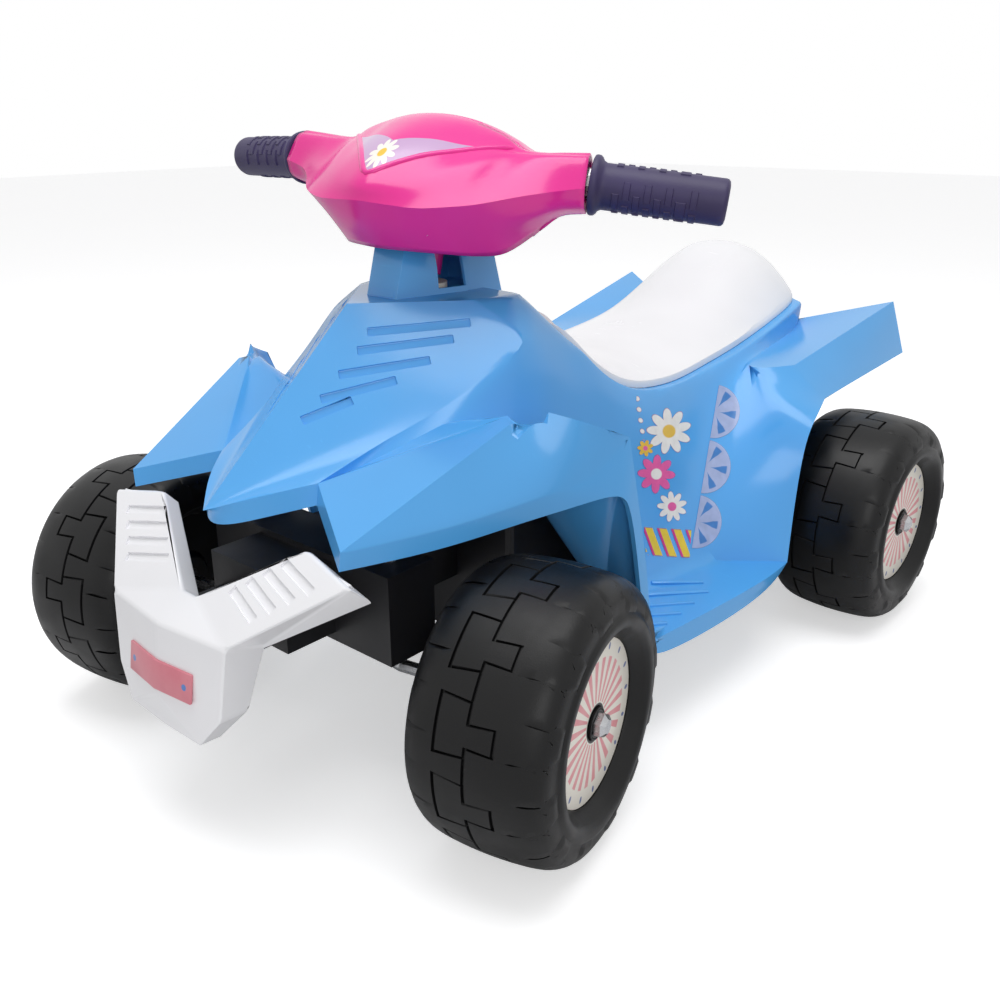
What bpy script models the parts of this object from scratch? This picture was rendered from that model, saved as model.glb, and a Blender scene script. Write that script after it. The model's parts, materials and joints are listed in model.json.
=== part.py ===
# Battery ride-on quad for a toddler, as separate pieces with their joints' axes.
# Metres, Z up. The front faces -Y, the rider's left is +X, and the wheels stand on Z = 0.
# The origin is on the ground, under the middle of the toy.

import math

import bmesh
import bpy
from mathutils import Euler, Matrix, Quaternion, Vector
from mathutils.bvhtree import BVHTree

# Overall places

AXLE_Y = 0.2084          # distance of each axle from the middle
FRONT_END = -0.3285      # foremost face, on the bumper's plate
REAR_END = 0.3285        # tips of the rear fenders
GAP = 0.0003             # between faces that touch on the real toy
RUNNING = 0.0003         # round a shaft in its bore

# Steering

STEER_AT_REST = math.radians(11.75)
CASTER = math.radians(15)
STEER_POINT = Vector((0, -0.100, 0.330))
STEER_AXIS = Vector((0, math.sin(CASTER), math.cos(CASTER)))
KINGPIN_X = 0.064
ARM_LENGTH = 0.030
ARM_Z = 0.156
ROD_RADIUS = 0.004
COLUMN_RADIUS = 0.006
COLUMN_LOW_Z = 0.178
COLUMN_HIGH_Z = 0.3455

# Wheels

WHEEL_RADIUS = 0.0825
WHEEL_WIDTH = 0.088
FRONT_WHEEL_X = 0.1615   # middle of the tyre
SHOULDER_RADIUS = 0.071
DISC_RADIUS = 0.0472
DISC_DEPTH = 0.010       # disc's face behind the tyre's side
DISC_THICKNESS = 0.0015
DISC_BORE = 0.0095
BUSH_RADIUS = 0.008
NUT_RADIUS = 0.0072
NUT_LENGTH = 0.006
TURN_STEPS = 28

# Body shell

WALL = 0.003
LIP = 0.012
PLATEAU_Z = 0.285
LEDGE = 0.014            # width of the ledge that carries the seat
FLANGE = 0.010           # its fold downwards
SEAT_SHOW = 0.0075       # ledge left bare outside the seat
NECK_WALL = 0.0025
NECK_TOP_Z = 0.3165
NECK_FLOOR_Z = PLATEAU_Z + 0.0006
LOUVRE_WIDTH = 0.0055
LOUVRE_DEPTH = 0.002
RIB_WIDTH = 0.003
RIB_HEIGHT = 0.0012

# Seat

SEAT_WALL = 0.003
SEAT_LIP = 0.005

# Chassis

TUB_HALF_WIDTH = 0.080
TUB_FRONT = -0.120
TUB_REAR = 0.262
TUB_FLOOR_Z = 0.056
TUB_TOP_Z = 0.150
TUB_WALL = 0.003
BEAM_Z = (WHEEL_RADIUS + 0.0115, 0.150)
SPINE_HALF_WIDTH = 0.034
TOWER_SIZE = 0.036

# Handlebar

BAR_RADIUS = 0.0095
BAR_Z = 0.3575
BAR_Y = -0.0945
GRIP_START = 0.1035
GRIP_END = 0.178
GRIP_RADIUS = 0.0138
GRIP_FLANGE_RADIUS = 0.017
COVER_WALL = 0.0025
BUTTON_X = -0.074
BUTTON_RADIUS = 0.0075
BUTTON_TRAVEL = 0.003

# Drive

MODULE = 0.001
GEAR_WIDTH = 0.006
PINION_TEETH = 10
LARGE_TEETH = 32
OUTPUT_TEETH = 36
CENTRE_SLACK = 0.0002
GEAR_PIN_RADIUS = 0.002
GEARBOX_OUTER_X = -0.1285
REAR_WHEEL_X = WHEEL_WIDTH / 2 - GEARBOX_OUTER_X + 0.0023
MOTOR_RADIUS = 0.0138
MOTOR_LENGTH = 0.038

# Battery

BATTERY_SIZE = (0.070, 0.047, 0.100)
BATTERY_Y = 0.060


# Scene and materials

def clear_scene():
    for obj in list(bpy.data.objects):
        bpy.data.objects.remove(obj, do_unlink=True)


def new_collection(name):
    collection = bpy.data.collections.new(name)
    bpy.context.scene.collection.children.link(collection)
    return collection


clear_scene()
PARTS = new_collection("ride_on_quad")
CUTTERS = new_collection("cutters")
CUTTERS.hide_render = True


def material(name, colour, roughness, metallic=0.0):
    made = bpy.data.materials.new(name)
    made.use_nodes = True
    shader = made.node_tree.nodes["Principled BSDF"]
    shader.inputs["Base Color"].default_value = (*colour, 1.0)
    shader.inputs["Roughness"].default_value = roughness
    shader.inputs["Metallic"].default_value = metallic
    return made


BLUE = material("blue_plastic", (0.11, 0.43, 0.87), 0.2)
WHITE = material("white_plastic", (0.87, 0.87, 0.9), 0.25)
MAGENTA = material("magenta_plastic", (0.85, 0.03, 0.33), 0.25)
PURPLE = material("grip_rubber", (0.03, 0.018, 0.09), 0.55)
BLACK = material("black_plastic", (0.012, 0.012, 0.013), 0.5)
TYRE_BLACK = material("wheel_plastic", (0.01, 0.01, 0.011), 0.42)
IVORY = material("disc_ivory", (0.83, 0.78, 0.68), 0.4)
ROSE = material("plate_rose", (0.68, 0.22, 0.27), 0.35)
STEEL = material("steel", (0.6, 0.6, 0.62), 0.3, 1.0)
BRASS = material("brass", (0.75, 0.56, 0.25), 0.35, 1.0)
NYLON = material("natural_nylon", (0.8, 0.79, 0.72), 0.45)
GREY = material("grey_plastic", (0.2, 0.2, 0.22), 0.5)
WIRE_RED = material("wire_insulation", (0.55, 0.02, 0.02), 0.4)


# Objects and modifiers

def keep(obj, name, finish, smooth_angle=30):
    obj.name = name
    obj.data.name = name
    for owner in list(obj.users_collection):
        owner.objects.unlink(obj)
    PARTS.objects.link(obj)
    obj.data.materials.clear()
    obj.data.materials.append(finish)
    if obj.type == "MESH":
        obj.data.shade_smooth()
        obj.data.set_sharp_from_angle(angle=math.radians(smooth_angle))
    return obj


def mesh_object(name, bm):
    mesh = bpy.data.meshes.new(name)
    bm.to_mesh(mesh)
    bm.free()
    obj = bpy.data.objects.new(name, mesh)
    bpy.context.scene.collection.objects.link(obj)
    return obj


def evaluated_mesh(obj):
    """The object's finished shape as a plain mesh in world space."""
    bpy.context.view_layer.update()
    graph = bpy.context.evaluated_depsgraph_get()
    mesh = bpy.data.meshes.new_from_object(obj.evaluated_get(graph))
    mesh.transform(obj.matrix_world)
    return mesh


def frozen(obj):
    """Swaps the object's modifiers or curve for the welded mesh that they make."""
    mesh = evaluated_mesh(obj)
    bm = bmesh.new()
    bm.from_mesh(mesh)
    bmesh.ops.remove_doubles(bm, verts=bm.verts, dist=1e-6)
    bm.to_mesh(mesh)
    bm.free()
    made = bpy.data.objects.new(obj.name, mesh)
    bpy.context.scene.collection.objects.link(made)
    bpy.data.objects.remove(obj, do_unlink=True)
    return made


def add_boolean(obj, tool, operation):
    CUTTERS.objects.link(tool)
    for owner in list(tool.users_collection):
        if owner is not CUTTERS:
            owner.objects.unlink(tool)
    tool.hide_render = True
    tool.display_type = "WIRE"
    modifier = obj.modifiers.new(operation.title(), "BOOLEAN")
    modifier.operation = operation
    modifier.solver = "EXACT"
    modifier.object = tool
    return obj


def cut(obj, *tools):
    for tool in tools:
        add_boolean(obj, tool, "DIFFERENCE")
    return obj


def join(obj, *tools):
    for tool in tools:
        add_boolean(obj, tool, "UNION")
    return obj


def add_bevel(obj, width, segments=2, angle=30):
    modifier = obj.modifiers.new("Bevel", "BEVEL")
    modifier.width = width
    modifier.segments = segments
    modifier.limit_method = "ANGLE"
    modifier.angle_limit = math.radians(angle)
    return obj


def add_thickness(obj, thickness):
    modifier = obj.modifiers.new("Wall", "SOLIDIFY")
    modifier.thickness = thickness
    modifier.offset = -1
    modifier.use_even_offset = True
    return obj


def add_folded_thickness(obj, thickness):
    """A wall for a sheet with sharp folds, whose inner side doesn't cross itself there."""
    add_thickness(obj, thickness)
    obj.modifiers["Wall"].solidify_mode = "NON_MANIFOLD"
    obj.modifiers["Wall"].nonmanifold_thickness_mode = "CONSTRAINTS"
    return obj


def add_mirror(obj):
    modifier = obj.modifiers.new("Mirror", "MIRROR")
    modifier.use_axis = (True, False, False)
    modifier.use_clip = True
    modifier.merge_threshold = 0.0001
    return obj


def box(name, low, high, bevel=0.0):
    """A box between two corners."""
    low, high = Vector(low), Vector(high)
    bm = bmesh.new()
    bmesh.ops.create_cube(bm, size=1)
    bmesh.ops.scale(bm, vec=high - low, verts=bm.verts)
    obj = mesh_object(name, bm)
    obj.location = (low + high) / 2
    if bevel:
        add_bevel(obj, bevel)
    return obj


def cylinder(name, radius, start, end, steps=24):
    """A round bar between two points."""
    start, end = Vector(start), Vector(end)
    bm = bmesh.new()
    bmesh.ops.create_cone(bm, cap_ends=True, segments=steps, radius1=radius, radius2=radius,
                          depth=(end - start).length)
    obj = mesh_object(name, bm)
    obj.location = (start + end) / 2
    obj.rotation_euler = (end - start).to_track_quat("Z", "Y").to_euler()
    return obj


def turned(name, profile, steps=TURN_STEPS, closed=False):
    """Spins a profile of (radius, height) about local Z. It runs down the outer side."""
    bm = bmesh.new()
    points = [bm.verts.new((radius, 0, height)) for radius, height in profile]
    for first, second in zip(points, points[1:]):
        bm.edges.new((first, second))
    if closed:
        bm.edges.new((points[-1], points[0]))
    obj = mesh_object(name, bm)
    modifier = obj.modifiers.new("Screw", "SCREW")
    modifier.steps = steps
    modifier.render_steps = steps
    modifier.use_merge_vertices = True
    modifier.merge_threshold = 0.00001
    modifier.use_smooth_shade = True
    return obj


def ring(name, inner, outer, low, high, steps=24):
    """A plain bush about local Z."""
    profile = [(outer, high), (outer, low), (inner, low), (inner, high)]
    return turned(name, profile, steps, closed=True)


def rod(name, points, radius, sides=2, cyclic=False):
    """A round wire or tube along points."""
    curve = bpy.data.curves.new(name, "CURVE")
    curve.dimensions = "3D"
    curve.bevel_depth = radius
    curve.bevel_resolution = sides
    curve.use_fill_caps = True
    spline = curve.splines.new("POLY")
    spline.points.add(len(points) - 1)
    spline.use_cyclic_u = cyclic
    for point, place in zip(spline.points, points):
        point.co = (*place, 1)
    obj = bpy.data.objects.new(name, curve)
    bpy.context.scene.collection.objects.link(obj)
    return obj


def plate(name, outlines, thickness):
    """A flat piece about local Z = 0. The first outline is its edge, the others are holes."""
    curve = bpy.data.curves.new(name, "CURVE")
    curve.dimensions = "2D"
    curve.fill_mode = "BOTH"
    curve.extrude = thickness / 2
    for outline in outlines:
        spline = curve.splines.new("POLY")
        spline.points.add(len(outline) - 1)
        spline.use_cyclic_u = True
        for point, (x, y) in zip(spline.points, outline):
            point.co = (x, y, 0, 1)
    obj = bpy.data.objects.new(name, curve)
    bpy.context.scene.collection.objects.link(obj)
    return frozen(obj)


def circle(radius, steps=16, centre=(0, 0)):
    turns = [2 * math.pi * step / steps for step in range(steps)]
    return [(centre[0] + radius * math.cos(a), centre[1] + radius * math.sin(a)) for a in turns]


def rounded_path(corners, radius, steps=5):
    """Points of a path whose inner corners are bent round a radius."""
    places = [Vector(corner) for corner in corners]
    path = [places[0]]
    for before, corner, after in zip(places, places[1:], places[2:]):
        inward, outward = (before - corner).normalized(), (after - corner).normalized()
        half = inward.angle(outward) / 2
        reach = radius / math.tan(half)
        centre = corner + (inward + outward).normalized() * radius / math.sin(half)
        start, end = corner + inward * reach - centre, corner + outward * reach - centre
        for step in range(steps + 1):
            path.append(centre + start.normalized().slerp(end.normalized(), step / steps) * radius)
    path.append(places[-1])
    return path


def sheet(name, places, faces):
    """An open surface with its faces given by the names of their corners."""
    bm = bmesh.new()
    corners = {key: bm.verts.new(place) for key, place in places.items()}
    for names in faces:
        bm.faces.new([corners[key] for key in names.split()])
    bmesh.ops.triangulate(bm, faces=bm.faces)
    bmesh.ops.recalc_face_normals(bm, faces=bm.faces)
    highest = max(bm.faces, key=lambda face: face.normal.z * face.normal.z * face.calc_area())
    if highest.normal.z < 0:
        bmesh.ops.reverse_faces(bm, faces=bm.faces)
    return mesh_object(name, bm)


# Body shell

# Height of the ledge under the seat, and half the body's width there, from front to rear.
SADDLE = (
    (-0.0725, 0.2625, 0.0560),
    (-0.0545, 0.2570, 0.0780),
    (-0.0310, 0.2295, 0.0830),
    (0.0110, 0.2070, 0.0840),
    (0.0550, 0.2020, 0.0835),
    (0.0850, 0.2018, 0.0825),
    (0.1200, 0.2045, 0.0800),
    (0.1660, 0.2085, 0.0780),
    (0.2100, 0.2165, 0.0775),
    (0.2540, 0.2260, 0.0770),
    (0.2850, 0.2320, 0.0730),
    (0.3000, 0.2345, 0.0580),
)
LAST = len(SADDLE) - 1

BODY_CORNERS = {
    # hood: a straight ridge and two facets, with a lip along the front
    "nose": (0, -0.2855, 0.187),
    "nose_low": (0, -0.2875, 0.187 - LIP),
    "front": (0.025, -0.2645, 0.1956),
    "front_low": (0.027, -0.264, 0.1956 - LIP),
    "root": (0.0445, -0.2405, 0.2010),
    "root_low": (0.0455, -0.243, 0.2010 - LIP),
    "ridge_1": (0, -0.2487, 0.2197),
    "ridge_2": (0, -0.2118, 0.2523),
    "apex": (0, -0.175, PLATEAU_Z),
    "side_1": (0.0545, -0.2012, 0.2172),
    "side_2": (0.0629, -0.1806, 0.2261),
    "side_3": (0.0711, -0.1611, 0.2348),
    "brow": (0.088, -0.111, 0.264),
    "crease": (0.0486, -0.120, PLATEAU_Z),
    "top_rear": (0.0618, -0.083, PLATEAU_Z),
    "top_mid": (0, -0.078, PLATEAU_Z),
    # valley between the hood and the front fender
    "valley_1": (0.0485, -0.2207, 0.2032),
    "valley_2": (0.0624, -0.1956, 0.2144),
    "valley_3": (0.073, -0.1731, 0.2243),
    "valley_4": (0.084, -0.158, 0.231),
    # front fender, its peak and its outer edge with the lip below it
    "toe": (0.0969, -0.2709, 0.1851),
    "toe_low": (0.0955, -0.2715, 0.1861 - LIP),
    "peak": (0.125, -0.155, 0.240),
    "heel": (0.147, -0.143, 0.235),
    "heel_top": (0.162, -0.127, 0.227),
    "heel_low": (0.163, -0.115, 0.2215),
    "edge_1": (0.119, -0.216, 0.187),
    "edge_2": (0.1378, -0.1704, 0.1942),
    "edge_3": (0.1441, -0.1549, 0.1971),
    "edge_4": (0.151, -0.1378, 0.1981),
    "arch_1": (0.1175, -0.2201, 0.187 - LIP),
    "arch_2": (0.1366, -0.1732, 0.1942 - LIP),
    "arch_3": (0.1488, -0.1434, 0.1971 - LIP),
    "arch_5": (0.163, -0.1197, 0.1911),
    "leg_1": (0.163, -0.1110, 0.1782),
    "leg_2": (0.163, -0.1016, 0.147),
    "leg_3": (0.163, -0.0875, 0.0790),
    "leg_foot": (0.163, -0.0794, 0.062),
    "wall_1": (0.163, -0.1030, 0.178),
    "wall_2": (0.163, -0.0935, 0.147),
    # footwell
    "floor_1": (0.110, -0.075, 0.080),
    "floor_2": (0.163, -0.0795, 0.079),
    "floor_3": (0.113, 0.000, 0.079),
    "floor_4": (0.1186, 0.0489, 0.079),
    "floor_5": (0.1724, 0.0533, 0.0750),
    "floor_low": (0.172, 0.058, 0.061),
    "floor_6": (0.164, 0.105, 0.070),
    # wall behind the footwell, and the edge that runs up before the rear wheel
    "flare_1": (0.158, 0.1205, 0.115),
    "flare_2": (0.158, 0.128, 0.162),
    "flare_3": (0.158, 0.145, 0.176),
    "flare_4": (0.150, 0.1735, 0.181),
    "step": (0.088, 0.125, 0.2007),
    "crest": (0.1235, 0.171, 0.2035),
    # rear fender and tail
    "shelf_1": (0.078, 0.268, 0.209),
    "shelf_2": (0.070, 0.287, 0.216),
    "shelf_low": (0.070, 0.2885, 0.205),
    "tip": (0.136, REAR_END, 0.233),
    "tip_low": (0.1398, REAR_END, 0.2214),
    "tip_end": (0.150, REAR_END, 0.190),
    "tail_1": (0.068, 0.283, 0.150),
    "tail_2": (0.056, 0.294, 0.150),
    "tail_mid": (0, 0.296, 0.150),
}

BODY_FACES = [
    "nose front root side_1",
    "nose side_1 side_2 ridge_1",
    "ridge_1 side_2 side_3 ridge_2",
    "ridge_2 side_3 crease apex",
    "side_3 brow crease",
    "crease brow top_rear",
    "apex crease top_rear top_mid",
    "nose nose_low front_low front",
    "front front_low root_low root",
    "root valley_1 side_1",
    "valley_1 valley_2 side_2 side_1",
    "valley_2 valley_3 side_3 side_2",
    "valley_3 valley_4 brow side_3",
    "root toe peak",
    "root peak valley_1",
    "valley_1 peak valley_2",
    "valley_2 peak valley_3",
    "valley_3 peak valley_4",
    "toe edge_1 peak",
    "edge_1 edge_2 peak",
    "edge_2 edge_3 heel peak",
    "edge_3 edge_4 heel",
    "edge_4 heel_low heel_top heel",
    "root root_low toe_low toe",
    "toe toe_low arch_1 edge_1",
    "edge_1 arch_1 arch_2 edge_2",
    "edge_2 arch_2 arch_3 edge_3",
    "edge_3 arch_3 arch_5 edge_4",
    "edge_4 arch_5 heel_low",
    "heel_low arch_5 leg_1 wall_1",
    "wall_1 leg_1 leg_2 wall_2",
    "wall_2 leg_2 leg_3 floor_2",
    "floor_2 leg_3 leg_foot",
    "valley_4 peak floor_1",
    "peak heel floor_1",
    "heel heel_top floor_1",
    "heel_top heel_low floor_1",
    "heel_low wall_1 floor_1",
    "wall_1 wall_2 floor_1",
    "wall_2 floor_2 floor_1",
    "valley_4 floor_1 brow",
    "top_rear brow rim_1",
    "brow floor_1 rim_2 rim_1",
    "floor_1 floor_3 rim_3 rim_2",
    "floor_3 floor_4 rim_5 rim_4 rim_3",
    "floor_4 step rim_6 rim_5",
    "floor_1 floor_2 floor_3",
    "floor_3 floor_2 floor_5 floor_4",
    "floor_4 floor_5 floor_6",
    "floor_2 leg_foot floor_low floor_5",
    "floor_5 floor_low floor_6",
    "step crest flare_4 flare_3",
    "step flare_3 flare_2",
    "step flare_2 flare_1 floor_4",
    "floor_4 flare_1 floor_6",
    "step shelf_1 crest",
    "crest shelf_1 shelf_2 tip",
    "crest tip tip_low tip_end flare_4",
    "shelf_2 shelf_low tip_low tip",
    "rim_6 step shelf_1 rim_9 rim_8 rim_7",
    "rim_9 shelf_1 shelf_2 rim_10",
    "rim_10 shelf_2 shelf_low tail_1 tail_2 rim_11",
    "rim_11 tail_2 tail_mid rim_mid",
    "top_mid top_rear rim_0 rim_front",
    "top_rear rim_1 rim_0",
    "rim_front rim_0 rim_1 ledge_1 ledge_front",
    "rim_10 rim_11 rim_mid ledge_mid ledge_10",
    "ledge_front ledge_1 fold_1 fold_front",
    "ledge_10 ledge_mid fold_mid fold_10",
]


def body_corners():
    """The named corners, with the seat's rim, its ledge and the fold under the ledge."""
    places = dict(BODY_CORNERS)
    for number, (y, z, x) in enumerate(SADDLE):
        places[f"rim_{number}"] = (x, y, z)
        if 0 < number < LAST:
            places[f"ledge_{number}"] = (x - LEDGE, y, z)
            places[f"fold_{number}"] = (x - LEDGE, y, z - FLANGE)
    for key, number in (("front", 0), ("mid", LAST)):
        y, z, _ = SADDLE[number]
        places[f"rim_{key}"] = (0, y, z)
    for key, number in (("front", 1), ("mid", LAST - 1)):
        y, z, _ = SADDLE[number]
        places[f"ledge_{key}"] = (0, y, z)
        places[f"fold_{key}"] = (0, y, z - FLANGE)
    return places


def body_faces():
    faces = list(BODY_FACES)
    for number in range(1, LAST - 1):
        following = number + 1
        faces.append(f"rim_{number} rim_{following} ledge_{following} ledge_{number}")
        faces.append(f"ledge_{number} ledge_{following} fold_{following} fold_{number}")
    return faces


# Louvres on the near half of the hood: inner and outer end of each, as (x, y).
LOUVRES = (
    ((0.0146, -0.1707), (0.0470, -0.1195)),
    ((0.0139, -0.1824), (0.0461, -0.1312)),
    ((0.0134, -0.1941), (0.0414, -0.1480)),
    ((0.0121, -0.2090), (0.0354, -0.1674)),
    ((0.0115, -0.2226), (0.0238, -0.1968)),
)

# Ribs on the near footwell's floor: front and rear end of each, as (x, y).
RIBS = (
    ((0.118, -0.012), (0.142, 0.018)),
    ((0.117, -0.040), (0.152, 0.008)),
    ((0.126, -0.052), (0.154, -0.014)),
    ((0.136, -0.060), (0.156, -0.034)),
    ((0.147, -0.066), (0.157, -0.053)),
)


def bars_on(surface, name, ends, width, height, lift):
    """Straight bars that lie along a surface, one for each pair of ends, on both sides."""
    bm = bmesh.new()
    above = 0.5
    for pair in ends:
        for side in (1, -1):
            hits = [surface.ray_cast(Vector((side * x, y, above)), Vector((0, 0, -1))) for x, y in pair]
            start, end = hits[0][0], hits[1][0]
            normal = (hits[0][1] + hits[1][1]).normalized()
            along = (end - start).normalized()
            across = normal.cross(along).normalized()
            normal = along.cross(across)
            turn = Matrix((along, across, normal)).transposed().to_4x4()
            place = Matrix.Translation((start + end) / 2 + normal * lift) @ turn
            size = Matrix.Diagonal(((end - start).length, width, height, 1))
            bmesh.ops.create_cube(bm, size=1, matrix=place @ size)
    return mesh_object(name, bm)


def neck_block(name, inset, low, high):
    """The tapering block of the neck, drawn in from its sides by an inset."""
    def outline(front_y, mid_y, rear_y, front_x, mid_x):
        return [(front_x - inset, front_y + inset), (mid_x - inset, mid_y), (mid_x - inset, rear_y - inset)]

    base = outline(-0.150, -0.0926, -0.062, 0.013, 0.025)
    top = outline(-0.138, -0.0874, -0.0674, 0.013, 0.0183)
    span = NECK_TOP_Z - PLATEAU_Z
    bm = bmesh.new()
    rings = []
    for z in (low, high):
        share = (z - PLATEAU_Z) / span
        half = [Vector(a).lerp(Vector(b), share) for a, b in zip(base, top)]
        loop = [(x, y, z) for x, y in half] + [(-x, y, z) for x, y in reversed(half)]
        rings.append([bm.verts.new(place) for place in loop])
    for first in range(len(rings[0])):
        second = (first + 1) % len(rings[0])
        bm.faces.new((rings[0][first], rings[0][second], rings[1][second], rings[1][first]))
    bm.faces.new(rings[0])
    bm.faces.new(rings[1])
    bmesh.ops.triangulate(bm, faces=bm.faces)
    bmesh.ops.recalc_face_normals(bm, faces=bm.faces)
    return mesh_object(name, bm)


def column_y(z):
    """Y of the steering axis at a height."""
    return STEER_POINT.y - (STEER_POINT.z - z) * math.tan(CASTER)


BUSH_SPIGOT = 0.0125
COVER_HOLE = 0.0128


def make_body():
    shell = sheet("shell", body_corners(), body_faces())
    add_mirror(shell)
    add_folded_thickness(shell, WALL)
    body = frozen(shell)
    surface = BVHTree.FromObject(body, bpy.context.evaluated_depsgraph_get())
    slots = bars_on(surface, "louvre_slots", LOUVRES, LOUVRE_WIDTH, 0.010, 0.005 - LOUVRE_DEPTH)
    ribs = bars_on(surface, "footwell_ribs", RIBS, RIB_WIDTH, 2 * RIB_HEIGHT, 0)
    neck = neck_block("neck_outside", 0, PLATEAU_Z - WALL / 2, NECK_TOP_Z)
    hollow = neck_block("neck_inside", NECK_WALL, NECK_FLOOR_Z, NECK_TOP_Z + 0.005)
    notch = box("neck_notch", (-0.04, -0.117, 0.2885), (0.04, -0.0963, NECK_TOP_Z + 0.008))
    centre_y = column_y(PLATEAU_Z)
    passage = cylinder("column_hole", COVER_HOLE, (0, centre_y, 0.27), (0, centre_y, 0.30))
    join(body, neck)
    cut(body, hollow, notch, passage, slots)
    join(body, ribs)
    return keep(body, "body_shell", BLUE)


# Seat

# Along the saddle: distance from the front, and how far the seat's middle rises above its edge.
SEAT_CROWN = (0.006, 0.012, 0.013, 0.013, 0.013, 0.013, 0.015, 0.020, 0.040, 0.054, 0.040)


def saddle_at(y):
    """Height and half width of the ledge at y."""
    for (y0, z0, x0), (y1, z1, x1) in zip(SADDLE, SADDLE[1:]):
        if y <= y1:
            share = (y - y0) / (y1 - y0)
            return z0 + (z1 - z0) * share, x0 + (x1 - x0) * share
    return SADDLE[-1][1], SADDLE[-1][2]


def seat_stations():
    """Rows of the seat, each (y, half width, height of its edge, rise of its middle)."""
    front_y = SADDLE[0][0] + SEAT_SHOW
    rear_y = SADDLE[-1][0] - SEAT_SHOW / 2
    rows = [(front_y, SEAT_CROWN[0])]
    rows += [(row[0], crown) for row, crown in zip(SADDLE[1:-1], SEAT_CROWN[1:])]
    rows.append((rear_y, SEAT_CROWN[-1] * 0.5))
    stations = []
    for y, crown in rows:
        z, half = saddle_at(y)
        stations.append((y, half - SEAT_SHOW, z + GAP, crown))
    return stations


def make_seat():
    """A crowned skin with a short skirt all round that stands on the body's ledge."""
    across = 7
    bm = bmesh.new()
    rows = []
    for y, half, edge, crown in seat_stations():
        row = []
        for step in range(across + 1):
            share = step / across
            x = half * share
            z = edge + SEAT_LIP + crown * (1 - share ** 2.4)
            row.append(bm.verts.new((x, y, z)))
        row.append(bm.verts.new((half, y, edge)))
        rows.append(row)
    for before, after in zip(rows, rows[1:]):
        for first in range(across + 1):
            second = first + 1
            bm.faces.new((before[first], after[first], after[second], before[second]))
    for row, (y, half, edge, _) in ((rows[0], seat_stations()[0]), (rows[-1], seat_stations()[-1])):
        skirt = [bm.verts.new((half * step / across, y, edge)) for step in range(across)]
        skirt.append(row[-1])
        for first in range(across):
            bm.faces.new((row[first], row[first + 1], skirt[first + 1], skirt[first]))
    bmesh.ops.recalc_face_normals(bm, faces=bm.faces)
    if max(bm.faces, key=lambda face: face.calc_center_median().z).normal.z < 0:
        bmesh.ops.reverse_faces(bm, faces=bm.faces)
    seat = mesh_object("seat_skin", bm)
    add_mirror(seat)
    add_thickness(seat, SEAT_WALL)
    return keep(seat, "seat", WHITE, 40)


# Front bumper

BUMPER_WALL = 0.003
PLATE_SIZE = (0.060, 0.030)
PLATE_THICKNESS = 0.0018
PLATE_Z = 0.1030
FACE_LEAN = 0.0040          # the face draws back by this much up to its top
FACE_Z = (0.0900, 0.1331)
FACE_MID_Y = FRONT_END + PLATE_THICKNESS + GAP + 0.0002
BUMPER_CORNERS = {
    "vee": (0.0064, -0.2999, 0.1426),
    "vee_mid": (0, -0.2999, 0.1426),
    "arm_in": (0.068, -0.269, 0.1780),
    "arm_out": (0.1098, -0.2772, 0.1712),
    "arm_back": (0.1085, -0.262, 0.158),
    "face_top": (0.0547, -0.3161, FACE_Z[1]),
    "face_side": (0.0500, -0.3205, FACE_Z[0]),
    "face_low": (0.0349, -0.3244, 0.0705),
    "top_mid": (0, FACE_MID_Y + FACE_LEAN, FACE_Z[1]),
    "side_mid": (0, FACE_MID_Y, FACE_Z[0]),
    "low_mid": (0, -0.3250, 0.0705),
    "back_top": (0.0560, -0.2920, 0.1270),
    "back_side": (0.0510, -0.3030, 0.0900),
    "under": (0.0349, -0.3120, 0.0705),
    "under_mid": (0, -0.3130, 0.0705),
    "vee_back": (0.0064, -0.2890, 0.1330),
    "vee_back_mid": (0, -0.2890, 0.1330),
    "arm_in_back": (0.066, -0.260, 0.1680),
}
BUMPER_FACES = (
    "vee arm_in arm_out face_top",
    "vee face_top top_mid vee_mid",
    "top_mid face_top face_side side_mid",
    "side_mid face_side face_low low_mid",
    "face_top arm_out arm_back back_top",
    "face_top back_top back_side face_side",
    "face_side back_side under face_low",
    "low_mid face_low under under_mid",
    "vee_mid vee_back_mid vee_back vee",
    "vee vee_back arm_in_back arm_in",
    "arm_in arm_in_back arm_back arm_out",
)
SLATS = (0.30, 0.46, 0.62, 0.78)
SLAT_DEPTH = 0.0016
SLAT_WIDTH = 0.0055


def make_bumper():
    skin = sheet("bumper_skin", BUMPER_CORNERS, BUMPER_FACES)
    add_mirror(skin)
    add_folded_thickness(skin, BUMPER_WALL)
    bumper = frozen(skin)
    surface = BVHTree.FromObject(bumper, bpy.context.evaluated_depsgraph_get())
    inner = Vector(BUMPER_CORNERS["vee"]).lerp(Vector(BUMPER_CORNERS["face_top"]), 0.18)
    outer = Vector(BUMPER_CORNERS["vee"]).lerp(Vector(BUMPER_CORNERS["face_top"]), 0.80)
    reach_in = Vector(BUMPER_CORNERS["arm_in"])
    reach_out = Vector(BUMPER_CORNERS["arm_out"])
    ends = []
    for share in SLATS:
        near = inner.lerp(reach_in, share)
        far = outer.lerp(reach_out.lerp(reach_in, 0.25), share)
        ends.append(((near.x, near.y), (far.x, far.y)))
    slots = bars_on(surface, "slat_slots", ends, SLAT_WIDTH, 0.010, 0.005 - SLAT_DEPTH)
    cut(bumper, slots)
    return keep(bumper, "front_bumper", WHITE)


def face_place(x, z):
    """The point of the bumper's face at x and z."""
    share = (z - FACE_Z[0]) / (FACE_Z[1] - FACE_Z[0])
    middle = Vector(BUMPER_CORNERS["side_mid"]).lerp(Vector(BUMPER_CORNERS["top_mid"]), share)
    side = Vector(BUMPER_CORNERS["face_side"]).lerp(Vector(BUMPER_CORNERS["face_top"]), share)
    return middle.lerp(side, abs(x) / side.x)


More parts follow.
